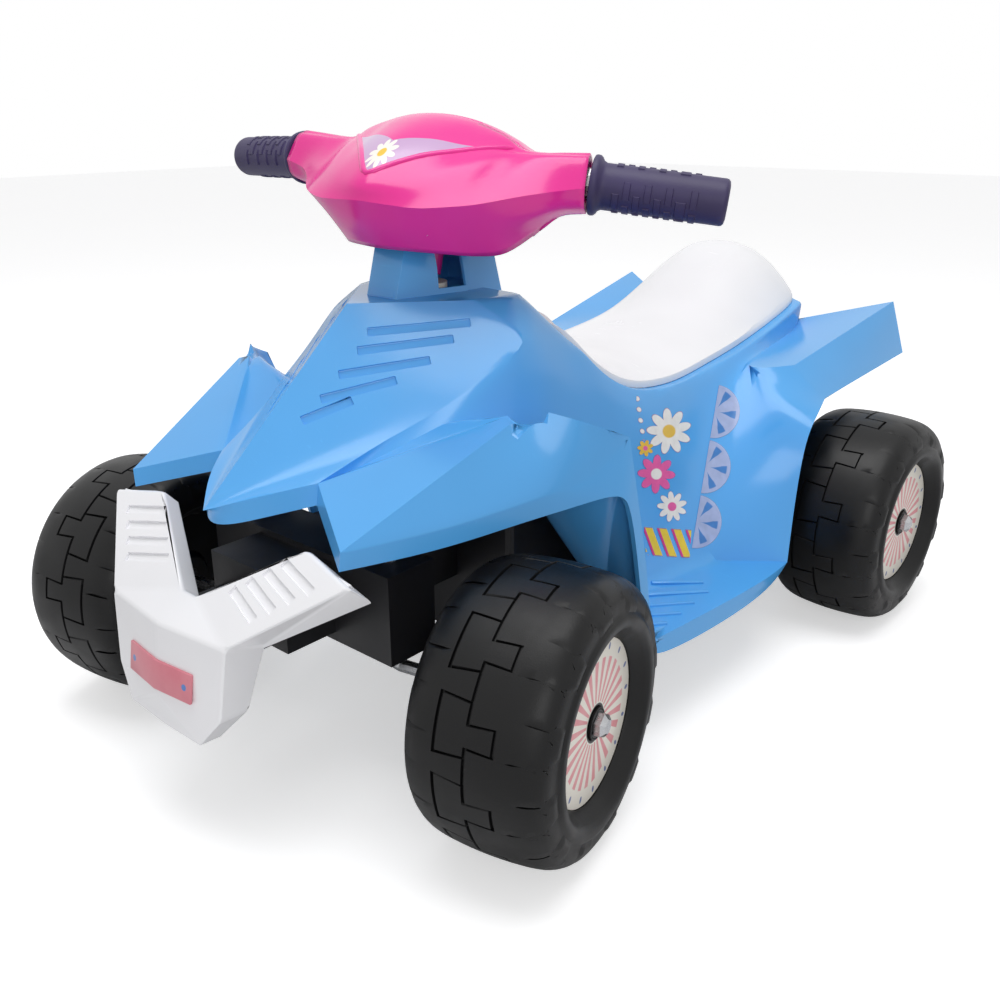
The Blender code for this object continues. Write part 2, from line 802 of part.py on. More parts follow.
def make_plate():
    """Plate that follows the bumper's face, bent down its middle."""
    half_width, half_height = PLATE_SIZE[0] / 2, PLATE_SIZE[1] / 2
    bm = bmesh.new()
    rows = []
    for x in (-half_width, 0, half_width):
        ends = [face_place(x, PLATE_Z + side * half_height) for side in (-1, 1)]
        rows.append([bm.verts.new((x, end.y - GAP - PLATE_THICKNESS, end.z)) for end in ends])
    for before, after in zip(rows, rows[1:]):
        bm.faces.new((before[0], after[0], after[1], before[1]))
    obj = mesh_object("plate_skin", bm)
    add_thickness(obj, PLATE_THICKNESS)
    return keep(obj, "bumper_plate", ROSE)


# Wheels

def wheel_profile():
    """Section of the moulded wheel, from its outer side to the inner one."""
    half = WHEEL_WIDTH / 2
    seat = half - DISC_DEPTH - DISC_THICKNESS - GAP
    rim = DISC_RADIUS + 0.0004
    return [
        (BUSH_RADIUS + GAP, half - DISC_DEPTH + 0.0015),
        (DISC_BORE - GAP, half - DISC_DEPTH + 0.0015),
        (DISC_BORE - GAP, seat),
        (rim, seat),
        (rim, half - DISC_DEPTH + 0.0005),
        (rim + 0.0030, half - 0.0050),
        (rim + 0.0100, half),
        (SHOULDER_RADIUS, half - 0.0030),
        (WHEEL_RADIUS - 0.0035, half - 0.0100),
        (WHEEL_RADIUS, half - 0.0200),
        (WHEEL_RADIUS, -half + 0.0200),
        (WHEEL_RADIUS - 0.0035, -half + 0.0100),
        (SHOULDER_RADIUS, -half + 0.0030),
        (rim + 0.0100, -half),
        (rim + 0.0030, -half + 0.0050),
        (rim - 0.0020, -half + 0.0160),
        (0.0200, -half + 0.0160),
        (0.0160, -half + 0.0120),
        (BUSH_RADIUS + GAP, -half + 0.0120),
    ]


def disc_profile():
    face = WHEEL_WIDTH / 2 - DISC_DEPTH
    return [(DISC_RADIUS, face), (DISC_RADIUS, face - DISC_THICKNESS),
            (DISC_BORE, face - DISC_THICKNESS), (DISC_BORE, face)]


def bush_profile():
    half = WHEEL_WIDTH / 2
    outer, inner = BUSH_RADIUS, ROD_RADIUS + RUNNING
    top, low = half - DISC_DEPTH + 0.0015, -half + 0.0120
    return [(outer, top), (outer, low), (inner, low), (inner, top)]


def nut_profile():
    """A capped nut: the axle's end goes into it from behind."""
    low = WHEEL_WIDTH / 2 - DISC_DEPTH + 0.0015 + GAP
    bore = ROD_RADIUS / math.cos(math.pi / 6) + GAP
    return [(0, low + NUT_LENGTH), (NUT_RADIUS * 0.6, low + NUT_LENGTH),
            (NUT_RADIUS, low + NUT_LENGTH * 0.6), (NUT_RADIUS, low),
            (bore, low), (bore, low + NUT_LENGTH * 0.55), (0, low + NUT_LENGTH * 0.55)]


AXLE_TIP = WHEEL_WIDTH / 2 - DISC_DEPTH + 0.0015 + GAP + NUT_LENGTH * 0.55 - GAP


def frame_empty(name, place):
    """An empty on a joint's axis, for the pieces that turn about it."""
    empty = bpy.data.objects.new(name, None)
    empty.empty_display_size = 0.02
    empty.location = place
    PARTS.objects.link(empty)
    return empty


def carry(empty, objects):
    """Parents objects to an empty and leaves them where they are."""
    bpy.context.view_layer.update()
    for obj in objects:
        obj.parent = empty
        obj.matrix_parent_inverse = empty.matrix_world.inverted()


def make_wheel(name, side, middle_x, axle_y):
    """A wheel with its disc, bush and nut. Side is +1 for the rider's left."""
    place = Vector((side * middle_x, axle_y, WHEEL_RADIUS))
    turn = Euler((0, side * math.pi / 2, 0))
    made = []
    pieces = (
        ("wheel", wheel_profile(), TYRE_BLACK, TURN_STEPS, True),
        ("hub_disc", disc_profile(), IVORY, TURN_STEPS, True),
        ("wheel_bush", bush_profile(), BLACK, 16, True),
        ("axle_nut", nut_profile(), STEEL, 6, False),
    )
    for kind, profile, finish, steps, closed in pieces:
        obj = turned(f"{kind}_{name}", profile, steps, closed)
        obj.location = place
        obj.rotation_euler = turn
        made.append(keep(obj, f"{kind}_{name}", finish))
    return made


# Front frame, kingpin rods and tie plate

SPINE_FRONT = -0.262
NOSE_HALF_WIDTH = 0.026
NOSE_Z = (0.105, 0.126)


def make_front_frame():
    """Spine and cross beam in one moulding, with the two bores for the kingpins."""
    low, high = BEAM_Z
    reach = KINGPIN_X + TOWER_SIZE / 2
    beam = box("beam", (-reach, -AXLE_Y - TOWER_SIZE / 2, low), (reach, -AXLE_Y + TOWER_SIZE / 2, high))
    spine = box("spine", (-SPINE_HALF_WIDTH, SPINE_FRONT, low + 0.006), (SPINE_HALF_WIDTH, TUB_FRONT - GAP, high - 0.004))
    behind = face_place(NOSE_HALF_WIDTH, NOSE_Z[1]).y + BUMPER_WALL * 1.02 + GAP
    nose = box("nose", (-NOSE_HALF_WIDTH, behind, NOSE_Z[0]),
               (NOSE_HALF_WIDTH, SPINE_FRONT + 0.01, NOSE_Z[1]))
    join(beam, spine, nose)
    for side in (1, -1):
        place = (side * KINGPIN_X, -AXLE_Y)
        cut(beam, cylinder("kingpin_bore", ROD_RADIUS + RUNNING, (*place, low - 0.01), (*place, high + 0.01)))
    hollow = TOWER_SIZE / 2 - 0.006
    relief = box("beam_relief", (-0.030, -AXLE_Y - hollow, low - 0.01), (0.030, -AXLE_Y + hollow, high - 0.006))
    cut(beam, relief)
    return keep(frozen(beam), "front_frame", BLACK)


def make_kingpin_rod(name, side):
    """One bent steel rod: steering arm on top, kingpin, and the wheel's axle."""
    x = side * KINGPIN_X
    tip = side * (FRONT_WHEEL_X + AXLE_TIP)
    corners = [
        (x, -AXLE_Y + ARM_LENGTH, ARM_Z + 0.012),
        (x, -AXLE_Y + ARM_LENGTH, ARM_Z),
        (x, -AXLE_Y, ARM_Z),
        (x, -AXLE_Y, WHEEL_RADIUS),
        (tip, -AXLE_Y, WHEEL_RADIUS),
    ]
    path = rounded_path(corners, 0.006, 3)
    return keep(rod(f"kingpin_rod_{name}", path, ROD_RADIUS, 2), f"kingpin_rod_{name}", STEEL)


PITMAN_THICKNESS = 0.003
PITMAN_PIN_RADIUS = 0.003
TIE_THICKNESS = 0.003
TIE_Z = ARM_Z + ROD_RADIUS + 0.0006 + TIE_THICKNESS / 2
TIE_BORE = ROD_RADIUS + 0.0006
PITMAN_TIP = Vector((0, column_y(COLUMN_LOW_Z), COLUMN_LOW_Z)) + ARM_LENGTH * Vector(
    (0, math.cos(CASTER), -math.sin(CASTER)))


def make_tie_plate():
    """T-shaped plate that joins both steering arms to the column's lever."""
    end_y = -AXLE_Y + ARM_LENGTH
    reach = KINGPIN_X + 0.009
    stem_y = PITMAN_TIP.y + 0.009
    stem = 0.009
    outline = [(-reach, end_y - 0.008), (reach, end_y - 0.008), (reach, end_y + 0.008), (stem, end_y + 0.008),
               (stem, stem_y), (-stem, stem_y), (-stem, end_y + 0.008), (-reach, end_y + 0.008)]
    holes = [circle(TIE_BORE, 16, (side * KINGPIN_X, end_y)) for side in (1, -1)]
    holes.append(circle(PITMAN_PIN_RADIUS + 0.0012, 16, (0, PITMAN_TIP.y)))
    tie = plate("tie_plate", [outline, *holes], TIE_THICKNESS)
    tie.location = (0, 0, TIE_Z)
    return keep(tie, "tie_plate", STEEL)


def axis_frame(z):
    """Place and turn of something square to the steering axis at a height."""
    return Vector((0, column_y(z), z)), Euler((-CASTER, 0, 0))


def make_pitman_arm():
    """Lever at the foot of the column, with the pin that drives the tie plate."""
    place, turn = axis_frame(COLUMN_LOW_Z)
    half = 0.0085
    outline = circle(half, 16)[8:] + [(half * 0.7, ARM_LENGTH), (half * 0.5, ARM_LENGTH + 0.005),
                                      (-half * 0.5, ARM_LENGTH + 0.005), (-half * 0.7, ARM_LENGTH)]
    arm = plate("pitman", [outline, circle(COLUMN_RADIUS + GAP, 16)], PITMAN_THICKNESS)
    arm.location = place + STEER_AXIS * PITMAN_THICKNESS
    arm.rotation_euler = turn
    pin_top = PITMAN_TIP.z + 0.003
    pin = cylinder("pitman_pin", PITMAN_PIN_RADIUS, (0, PITMAN_TIP.y, TIE_Z - 0.004), (0, PITMAN_TIP.y, pin_top), 16)
    join(arm, pin)
    return keep(frozen(arm), "pitman_arm", STEEL)


def along_column(z):
    return Vector((0, column_y(z), z))


def make_column():
    column = cylinder("column", COLUMN_RADIUS, along_column(COLUMN_LOW_Z), along_column(COLUMN_HIGH_Z), 20)
    return keep(column, "steering_column", STEEL)


def column_bore(name, low, high, radius):
    return cylinder(name, radius, along_column(low), along_column(high), 20)


def make_upper_bush():
    """Flanged bush in the neck's floor, bored at the column's angle."""
    centre_y = column_y(PLATEAU_Z)
    low, seat, top = PLATEAU_Z - WALL - 0.002, NECK_FLOOR_Z + GAP, NECK_FLOOR_Z + 0.005
    profile = [(0, top), (0.0160, top), (0.0160, seat), (BUSH_SPIGOT, seat), (BUSH_SPIGOT, low), (0, low)]
    bush = turned("upper_bush", profile, 24)
    bush.location = (0, centre_y, 0)
    bush = frozen(bush)
    cut(bush, column_bore("upper_bore", PLATEAU_Z - 0.03, PLATEAU_Z + 0.03, COLUMN_RADIUS + 0.0004))
    return keep(frozen(bush), "column_upper_bush", NYLON)


BRACKET_Z = (0.186, 0.199)


def make_lower_bush():
    low, high = BRACKET_Z
    middle = (low + high) / 2
    place, turn = axis_frame(middle)
    half = (high - low) / 2 / math.cos(CASTER) + 0.002
    bush = ring("lower_bush", COLUMN_RADIUS + RUNNING, 0.0085, -half, half, 20)
    bush.location = place
    bush.rotation_euler = turn
    return keep(bush, "column_lower_bush", NYLON)


def make_column_sleeve():
    """Coloured sleeve on the column, seen through the notches of the neck."""
    low, high = 0.2960, 0.3195
    place, turn = axis_frame(low)
    sleeve = ring("sleeve", COLUMN_RADIUS + GAP, 0.0100, 0, (high - low) / math.cos(CASTER), 20)
    sleeve.location = place
    sleeve.rotation_euler = turn
    return keep(sleeve, "column_sleeve", MAGENTA)


# Handlebar, its cover and grips

BAR_BEND = (0.0850, -0.0975, 0.3577)
BAR_FLANGE = (0.1023, -0.0946, 0.3565)
BAR_TIP = (0.1765, -0.0706, 0.3511)
SCREW_X = 0.031
SCREW_Z = 0.3285
CLAMP_EAR = (0.0365, -0.1435, 0.3235, 0.3335)


def bar_points():
    middle = (0, BAR_Y, BAR_Z)
    half = [BAR_BEND, BAR_FLANGE, BAR_TIP]
    return [(-x, y, z) for x, y, z in reversed(half)] + [middle] + half


def make_handlebar():
    return keep(rod("handlebar_tube", bar_points(), BAR_RADIUS, 3), "handlebar_tube", STEEL)


def make_grip(name, side):
    """Rubber sleeve with a flange, closed at its outer end."""
    start = Vector((side * BAR_FLANGE[0], *BAR_FLANGE[1:]))
    end = Vector((side * BAR_TIP[0], *BAR_TIP[1:]))
    direction = (end - start).normalized()
    length = (GRIP_END - GRIP_START) / abs(direction.x)
    bore = BAR_RADIUS + GAP
    tube_end = (end - start).length
    first = (GRIP_START - BAR_FLANGE[0]) / abs(direction.x)
    profile = [
        (0, first + length),
        (GRIP_RADIUS - 0.004, first + length),
        (GRIP_RADIUS, first + length - 0.003),
        (GRIP_RADIUS, first + 0.006),
        (GRIP_FLANGE_RADIUS, first + 0.005),
        (GRIP_FLANGE_RADIUS, first),
        (bore, first),
        (bore, tube_end + GAP),
        (0, tube_end + GAP),
    ]
    grip = turned(f"grip_{name}", profile, 24)
    grip.location = start
    grip.rotation_euler = direction.to_track_quat("Z", "Y").to_euler()
    return keep(grip, f"grip_{name}", PURPLE)


def make_clamp():
    """Block on top of the column that holds the bar, with two ears for the cover's screws."""
    block = box("clamp_block", (-0.025, BAR_Y - 0.017, CLAMP_EAR[2]), (0.025, BAR_Y + 0.017, BAR_Z + 0.015))
    ear = box("clamp_ear", (-CLAMP_EAR[0], CLAMP_EAR[1], CLAMP_EAR[2]), (CLAMP_EAR[0], BAR_Y, CLAMP_EAR[3]))
    join(block, ear)
    for side in (1, -1):
        middle = Vector((0, BAR_Y, BAR_Z))
        bend = Vector((side * BAR_BEND[0], *BAR_BEND[1:]))
        back = middle + (middle - bend).normalized() * 0.004
        bar = cylinder("bar_bore", BAR_RADIUS + 2 * GAP, back, bend, 24)
        cut(block, bar)
        hole = cylinder("screw_hole", 0.0018, (side * SCREW_X, CLAMP_EAR[1] - 0.01, SCREW_Z),
                        (side * SCREW_X, CLAMP_EAR[1] + 0.014, SCREW_Z), 12)
        cut(block, hole)
    cut(block, column_bore("column_socket", 0.30, COLUMN_HIGH_Z + GAP, COLUMN_RADIUS + GAP))
    return keep(frozen(block), "bar_clamp", BLACK)


# Sections of the cover at stations across it: bottom, skirt, crease, ridge, dome and seam.
COVER_FRONT = (
    (0.0, ((-0.1560, 0.3160), (-0.1680, 0.3300), (-0.1780, 0.3450), (-0.1730, 0.3570), (-0.1400, 0.3780),
           (-0.1000, 0.3900))),
    (0.0180, ((-0.1520, 0.3158), (-0.1650, 0.3300), (-0.1750, 0.3440), (-0.1660, 0.3572), (-0.1340, 0.3770),
              (-0.0985, 0.3885))),
    (0.0336, ((-0.1430, 0.3150), (-0.1570, 0.3290), (-0.1705, 0.3433), (-0.1535, 0.3597), (-0.1230, 0.3750),
              (-0.0955, 0.3848))),
    (0.0480, ((-0.1240, 0.3130), (-0.1430, 0.3290), (-0.1620, 0.3445), (-0.1340, 0.3648), (-0.1120, 0.3740),
              (-0.0955, 0.3797))),
    (0.0600, ((-0.1120, 0.3150), (-0.1310, 0.3310), (-0.1500, 0.3460), (-0.1110, 0.3690), (-0.1030, 0.3715),
              (-0.0965, 0.3732))),
    (0.0726, ((-0.0960, 0.3270), (-0.1200, 0.3370), (-0.1300, 0.3500), (-0.1080, 0.3695), (-0.1020, 0.3710),
              (-0.0955, 0.3722))),
    (0.0860, ((-0.0960, 0.3370), (-0.1110, 0.3430), (-0.1170, 0.3530), (-0.1060, 0.3700), (-0.1000, 0.3722),
              (-0.0950, 0.3730))),
    (0.0992, ((-0.0960, 0.3400), (-0.1080, 0.3460), (-0.1115, 0.3560), (-0.1040, 0.3700), (-0.0990, 0.3730),
              (-0.0948, 0.3738))),
)
COVER_REAR = (
    (0.0, ((-0.0500, 0.3240), (-0.0420, 0.3400), (-0.0420, 0.3560), (-0.0640, 0.3800), (-0.0995, 0.3900))),
    (0.0180, ((-0.0510, 0.3235), (-0.0430, 0.3400), (-0.0430, 0.3560), (-0.0640, 0.3785), (-0.0980, 0.3885))),
    (0.0336, ((-0.0550, 0.3230), (-0.0470, 0.3400), (-0.0470, 0.3560), (-0.0660, 0.3755), (-0.0950, 0.3848))),
    (0.0480, ((-0.0630, 0.3230), (-0.0550, 0.3400), (-0.0560, 0.3560), (-0.0700, 0.3720), (-0.0950, 0.3797))),
    (0.0600, ((-0.0800, 0.3210), (-0.0640, 0.3400), (-0.0640, 0.3560), (-0.0750, 0.3690), (-0.0960, 0.3732))),
    (0.0726, ((-0.0960, 0.3270), (-0.0720, 0.3430), (-0.0710, 0.3570), (-0.0790, 0.3690), (-0.0950, 0.3722))),
    (0.0860, ((-0.0960, 0.3370), (-0.0790, 0.3450), (-0.0765, 0.3570), (-0.0820, 0.3690), (-0.0945, 0.3730))),
    (0.0992, ((-0.0960, 0.3400), (-0.0830, 0.3450), (-0.0775, 0.3565), (-0.0830, 0.3690), (-0.0943, 0.3738))),
)


SEAM_Y = -0.0960
COVER_END_X = GRIP_START - 0.0015


def cover_half(name, keep_front):
    """The whole cover as one lofted skin, cut along its seam. It is open below, round the column."""
    slope = math.tan(math.atan2(BAR_TIP[1] - BAR_FLANGE[1], BAR_TIP[0] - BAR_FLANGE[0]))
    bm = bmesh.new()
    rows = []
    for (x, front), (_, rear) in zip(COVER_FRONT, COVER_REAR):
        section = list(front[:-1]) + list(reversed(rear))
        ends = [COVER_END_X - (y - BAR_FLANGE[1]) * slope for y, z in section]
        last = x == COVER_FRONT[-1][0]
        rows.append([bm.verts.new((end if last else x, y, z)) for end, (y, z) in zip(ends, section)])
    for before, after in zip(rows, rows[1:]):
        for first in range(len(before) - 1):
            bm.faces.new((before[first], after[first], after[first + 1], before[first + 1]))
    bmesh.ops.remove_doubles(bm, verts=bm.verts, dist=1e-6)
    bmesh.ops.recalc_face_normals(bm, faces=bm.faces)
    if max(bm.faces, key=lambda face: face.calc_center_median().z).normal.z < 0:
        bmesh.ops.reverse_faces(bm, faces=bm.faces)
    skin = mesh_object(name, bm)
    add_mirror(skin)
    add_folded_thickness(skin, COVER_WALL)
    skin = frozen(skin)
    reach = 0.2
    if keep_front:
        other = box("behind_seam", (-reach, SEAM_Y - GAP / 2, 0.2), (reach, reach, 0.5))
    else:
        other = box("before_seam", (-reach, -reach - 0.2, 0.2), (reach, SEAM_Y + GAP / 2, 0.5))
    return cut(skin, other)


def make_cover_front():
    """Front half with the dome, the visor and the skirt with its two screw holes."""
    front = cover_half("cover_front_skin", True)
    for side in (1, -1):
        hole = cylinder("skirt_hole", 0.0024, (side * SCREW_X, -0.19, SCREW_Z), (side * SCREW_X, -0.13, SCREW_Z), 12)
        cut(front, hole)
    return keep(frozen(front), "bar_cover_front", MAGENTA)


def make_cover_rear():
    rear = cover_half("cover_rear_skin", False)
    hole = cylinder("button_hole", BUTTON_RADIUS + GAP, (BUTTON_X, -0.085, BUTTON_Z), (BUTTON_X, -0.05, BUTTON_Z), 24)
    cut(rear, hole)
    return keep(frozen(rear), "bar_cover_rear", MAGENTA)


def make_cover_screw(name, side):
    """Screw through the skirt into the clamp's ear."""
    head = 0.0021
    start = -0.1560
    profile = [(0, 0), (head, 0), (head, -0.002), (0.0015, -0.002), (0.0015, -0.020), (0, -0.020)]
    screw = turned(f"cover_screw_{name}", profile, 12)
    screw.location = (side * SCREW_X, start, SCREW_Z)
    screw.rotation_euler = (math.pi / 2, 0, 0)
    return keep(screw, f"cover_screw_{name}", STEEL)


BUTTON_Z = 0.3565
BUTTON_FACE_Y = -0.0655
BUTTON_BACK_Y = -0.0790
SWITCH_FACE_Y = BUTTON_BACK_Y - BUTTON_TRAVEL - GAP


def make_button():
    """Thumb button behind the bar, by the right grip."""
    button = cylinder("button", BUTTON_RADIUS, (BUTTON_X, BUTTON_BACK_Y, BUTTON_Z),
                      (BUTTON_X, BUTTON_FACE_Y, BUTTON_Z), 24)
    add_bevel(button, 0.001, 2)
    return keep(button, "drive_button", GREY)


def make_switch():
    """Switch between the bar and the button."""
    back = BAR_BEND[1] + BAR_RADIUS + 0.0012
    switch = box("switch", (BUTTON_X - 0.009, back, BUTTON_Z - 0.008), (BUTTON_X + 0.009, SWITCH_FACE_Y, BUTTON_Z + 0.008))
    return keep(switch, "drive_switch", BLACK)


# Chassis tub

PAD_TOP_Z = BODY_CORNERS["floor_5"][2] - WALL - GAP
MOTOR_HOLE = MOTOR_RADIUS + 0.0006
AXLE_HOLE = 0.0058


def make_tub():
    """Open tray with footrest supports, the lower bush's bracket and the rear axle's bearings."""
    bm = bmesh.new()
    bmesh.ops.create_cube(bm, size=1)
    size = Vector((2 * TUB_HALF_WIDTH, TUB_REAR - TUB_FRONT, TUB_TOP_Z - TUB_FLOOR_Z))
    bmesh.ops.scale(bm, vec=size, verts=bm.verts)
    middle = Vector((0, (TUB_REAR + TUB_FRONT) / 2, (TUB_TOP_Z + TUB_FLOOR_Z) / 2))
    bmesh.ops.translate(bm, vec=middle, verts=bm.verts)
    bmesh.ops.delete(bm, geom=[max(bm.faces, key=lambda face: face.normal.z)], context="FACES_ONLY")
    tub = mesh_object("tub", bm)
    add_bevel(tub, 0.004, 2, 60)
    add_thickness(tub, TUB_WALL)
    tub = frozen(tub)
    pads = []
    for side in (1, -1):
        ends = sorted((side * (TUB_HALF_WIDTH - 0.002), side * 0.150))
        pads.append(box("pad", (ends[0], -0.052, PAD_TOP_Z - 0.006), (ends[1], 0.040, PAD_TOP_Z)))
    post = box("post", (-0.018, TUB_FRONT + 0.024, TUB_FLOOR_Z + 0.001), (0.018, TUB_FRONT + 0.036, BRACKET_Z[1]))
    low, high = BRACKET_Z
    head_front = column_y(high) - 0.018
    head = box("head", (-0.018, head_front, low), (0.018, TUB_FRONT + 0.036, high))
    cup_y = AXLE_Y
    join(tub, *pads, post, head)
    cut(tub, column_bore("lower_socket", low - 0.02, high + 0.02, 0.0085 + GAP))
    reach = TUB_HALF_WIDTH + 0.02
    cut(tub, cylinder("axle_hole", AXLE_HOLE + GAP, (-reach, cup_y, WHEEL_RADIUS), (reach, cup_y, WHEEL_RADIUS)))
    cut(tub, cylinder("motor_hole", MOTOR_HOLE, (-reach, *MOTOR_PLACE), (-TUB_HALF_WIDTH + 0.02, *MOTOR_PLACE)))
    return keep(frozen(tub), "chassis_tub", BLACK)


# Rear axle and gearbox

def mesh_distance(first, second):
    return MODULE * (first + second) / 2 + CENTRE_SLACK


def step_from(place, distance, angle):
    """A point (y, z) at a distance and an angle from another."""
    return place[0] + distance * math.cos(angle), place[1] + distance * math.sin(angle)


AXLE_PLACE = (AXLE_Y, WHEEL_RADIUS)
TRAIN_ANGLES = (math.radians(160), math.radians(176), math.radians(168))
SECOND_PLACE = step_from(AXLE_PLACE, mesh_distance(OUTPUT_TEETH, PINION_TEETH), TRAIN_ANGLES[0])
FIRST_PLACE = step_from(SECOND_PLACE, mesh_distance(LARGE_TEETH, PINION_TEETH), TRAIN_ANGLES[1])
MOTOR_PLACE = step_from(FIRST_PLACE, mesh_distance(LARGE_TEETH, PINION_TEETH), TRAIN_ANGLES[2])
CASE_WALL = 0.0022
CASE_INNER_X = -TUB_HALF_WIDTH - GAP
CASE_SPLIT_X = (GEARBOX_OUTER_X + CASE_INNER_X) / 2
LAYER = GEAR_WIDTH + 0.0008


def gear_outline(teeth, towards, gap):
    """Outline of a gear about X, with a tooth or a gap on the line towards an angle."""
    pitch = 2 * math.pi / teeth
    start = towards + math.pi / 2 + (pitch / 2 if gap else 0)
    root, tip = MODULE * (teeth / 2 - 1.15), MODULE * (teeth / 2 + 0.85)
    outline = []
    for tooth in range(teeth):
        middle = start + tooth * pitch
        for radius, share in ((root, -0.30), (tip, -0.10), (tip, 0.10), (root, 0.30)):
            angle = middle + share * pitch
            outline.append((radius * math.cos(angle), radius * math.sin(angle)))
    return outline


def gear_layer(name, teeth, towards, gap, bore, x, place, width=GEAR_WIDTH):
    gear = plate(name, [gear_outline(teeth, towards, gap), circle(bore, 14)], width)
    gear.location = (x, *place)
    gear.rotation_euler = (0, math.pi / 2, 0)
    return gear


def make_gears():
    """Output gear on the driven wheel, two double gears and the motor's pinion."""
    half = math.pi
    x_output = GEARBOX_OUTER_X + CASE_WALL + 0.0008 + GEAR_WIDTH / 2
    x_second = x_output + LAYER
    x_first = x_second + LAYER
    bore = GEAR_PIN_RADIUS + RUNNING
    output = gear_layer("output_gear", OUTPUT_TEETH, TRAIN_ANGLES[0], True, ROD_RADIUS + RUNNING, x_output, AXLE_PLACE)
    doubles = []
    places = (
        ("second_gear", SECOND_PLACE, x_output, x_second, TRAIN_ANGLES[0] + half, TRAIN_ANGLES[1]),
        ("first_gear", FIRST_PLACE, x_second, x_first, TRAIN_ANGLES[1] + half, TRAIN_ANGLES[2]),
    )
    for name, place, x_small, x_large, towards_small, towards_large in places:
        small = gear_layer(name, PINION_TEETH, towards_small, False, bore, x_small + 0.0005, place, GEAR_WIDTH + 0.001)
        large = gear_layer("large", LARGE_TEETH, towards_large, True, bore, x_large, place)
        spacer = plate("spacer", [circle(MODULE * 3.7, 14), circle(bore, 14)], 2 * LAYER - GEAR_WIDTH - 0.002)
        spacer.location = ((x_small + x_large) / 2, *place)
        spacer.rotation_euler = (0, math.pi / 2, 0)
        join(small, spacer, large)
        doubles.append(keep(frozen(small), name, NYLON, 20))
    pinion = gear_layer("motor_pinion", PINION_TEETH, TRAIN_ANGLES[2] + half, False, 0.0013, x_first, MOTOR_PLACE)
    return keep(output, "output_gear", NYLON, 20), doubles, keep(pinion, "motor_pinion", BRASS, 20)


def stadium(radii, places, steps=10):
    """Outline round a row of circles from rear to front, for a plate about X."""
    (y0, z0), (y1, z1) = places[0], places[-1]
    along = math.atan2(z1 - z0, y1 - y0)
    outline = []
    for radius, (y, z), turn in ((radii[0], places[0], along + math.pi / 2), (radii[1], places[-1], along - math.pi / 2)):
        for step in range(steps + 1):
            angle = turn + math.pi * step / steps
            outline.append((y + radius * math.cos(angle), z + radius * math.sin(angle)))
    return [(-z, y) for y, z in outline]


def make_gearbox():
    """Two cupped halves that meet in the middle. The inner one carries the gears' pins."""
    pads = (OUTPUT_TEETH * MODULE / 2 + 0.0055, LARGE_TEETH * MODULE / 2 + 0.0045)
    places = (AXLE_PLACE, MOTOR_PLACE)
    halves = []
    for name, low, high, floor_at_low in (
        ("gearbox_outer_case", GEARBOX_OUTER_X, CASE_SPLIT_X - GAP / 2, True),
        ("gearbox_inner_case", CASE_SPLIT_X + GAP / 2, CASE_INNER_X, False),
    ):
        shell = plate(name, [stadium([pad + CASE_WALL for pad in pads], places)], high - low)
        shell.location = ((low + high) / 2, 0, 0)
        shell.rotation_euler = (0, math.pi / 2, 0)
        shift = CASE_WALL if floor_at_low else -CASE_WALL
        hollow = plate("case_hollow", [stadium(pads, places)], high - low)
        hollow.location = ((low + high) / 2 + shift, 0, 0)
        hollow.rotation_euler = (0, math.pi / 2, 0)
        cut(shell, hollow)
        cut(shell, cylinder("axle_way", AXLE_HOLE + GAP, (low - 0.01, *AXLE_PLACE), (high + 0.01, *AXLE_PLACE)))
        halves.append(shell)
    outer, inner = halves
    for place in (SECOND_PLACE, FIRST_PLACE):
        start, end = GEARBOX_OUTER_X + CASE_WALL + GAP, CASE_INNER_X - CASE_WALL / 2
        join(inner, cylinder("gear_pin", GEAR_PIN_RADIUS, (start, *place), (end, *place), 12))
    cut(inner, cylinder("shaft_way", 0.0030, (CASE_INNER_X - 0.01, *MOTOR_PLACE), (CASE_INNER_X + 0.01, *MOTOR_PLACE), 16))
    return [keep(frozen(outer), "gearbox_outer_case", BLACK), keep(frozen(inner), "gearbox_inner_case", BLACK)]


def make_motor():
    """Small motor whose shaft reaches into the gearbox."""
    start = CASE_INNER_X + GAP
    x_first = GEARBOX_OUTER_X + CASE_WALL + 0.0008 + GEAR_WIDTH / 2 + 2 * LAYER
    length = start - (x_first - GEAR_WIDTH / 2)
    profile = [(0, MOTOR_LENGTH), (0.003, MOTOR_LENGTH), (0.003, MOTOR_LENGTH - 0.002),
               (MOTOR_RADIUS - 0.001, MOTOR_LENGTH - 0.002), (MOTOR_RADIUS, MOTOR_LENGTH - 0.003),
               (MOTOR_RADIUS, 0), (0.001, 0), (0.001, -length), (0, -length)]
    motor = turned("motor", profile, 20)
    motor.location = (start, *MOTOR_PLACE)
    motor.rotation_euler = (0, math.pi / 2, 0)
    return keep(motor, "motor", STEEL)


def make_rear_axle():
    reach = REAR_WHEEL_X + AXLE_TIP
    axle = cylinder("rear_axle", ROD_RADIUS, (-reach, *AXLE_PLACE), (reach, *AXLE_PLACE), 16)
    return keep(axle, "rear_axle", STEEL)


WHEEL_INNER_X = REAR_WHEEL_X - WHEEL_WIDTH / 2 + 0.012


def make_axle_bush(name, side):
    """Bush in the tub's wall. On the driven side it ends at the output gear, on the other at the wheel."""
    start = TUB_HALF_WIDTH - TUB_WALL - 0.004
    if side > 0:
        end = WHEEL_INNER_X - GAP
    else:
        end = -(GEARBOX_OUTER_X + CASE_WALL + 0.0008 + GEAR_WIDTH) - GAP
    bush = ring(f"axle_bush_{name}", ROD_RADIUS + RUNNING, AXLE_HOLE, start, end, 18)
    bush.location = (0, *AXLE_PLACE)
    bush.rotation_euler = (0, side * math.pi / 2, 0)
    return keep(bush, f"axle_bush_{name}", NYLON)


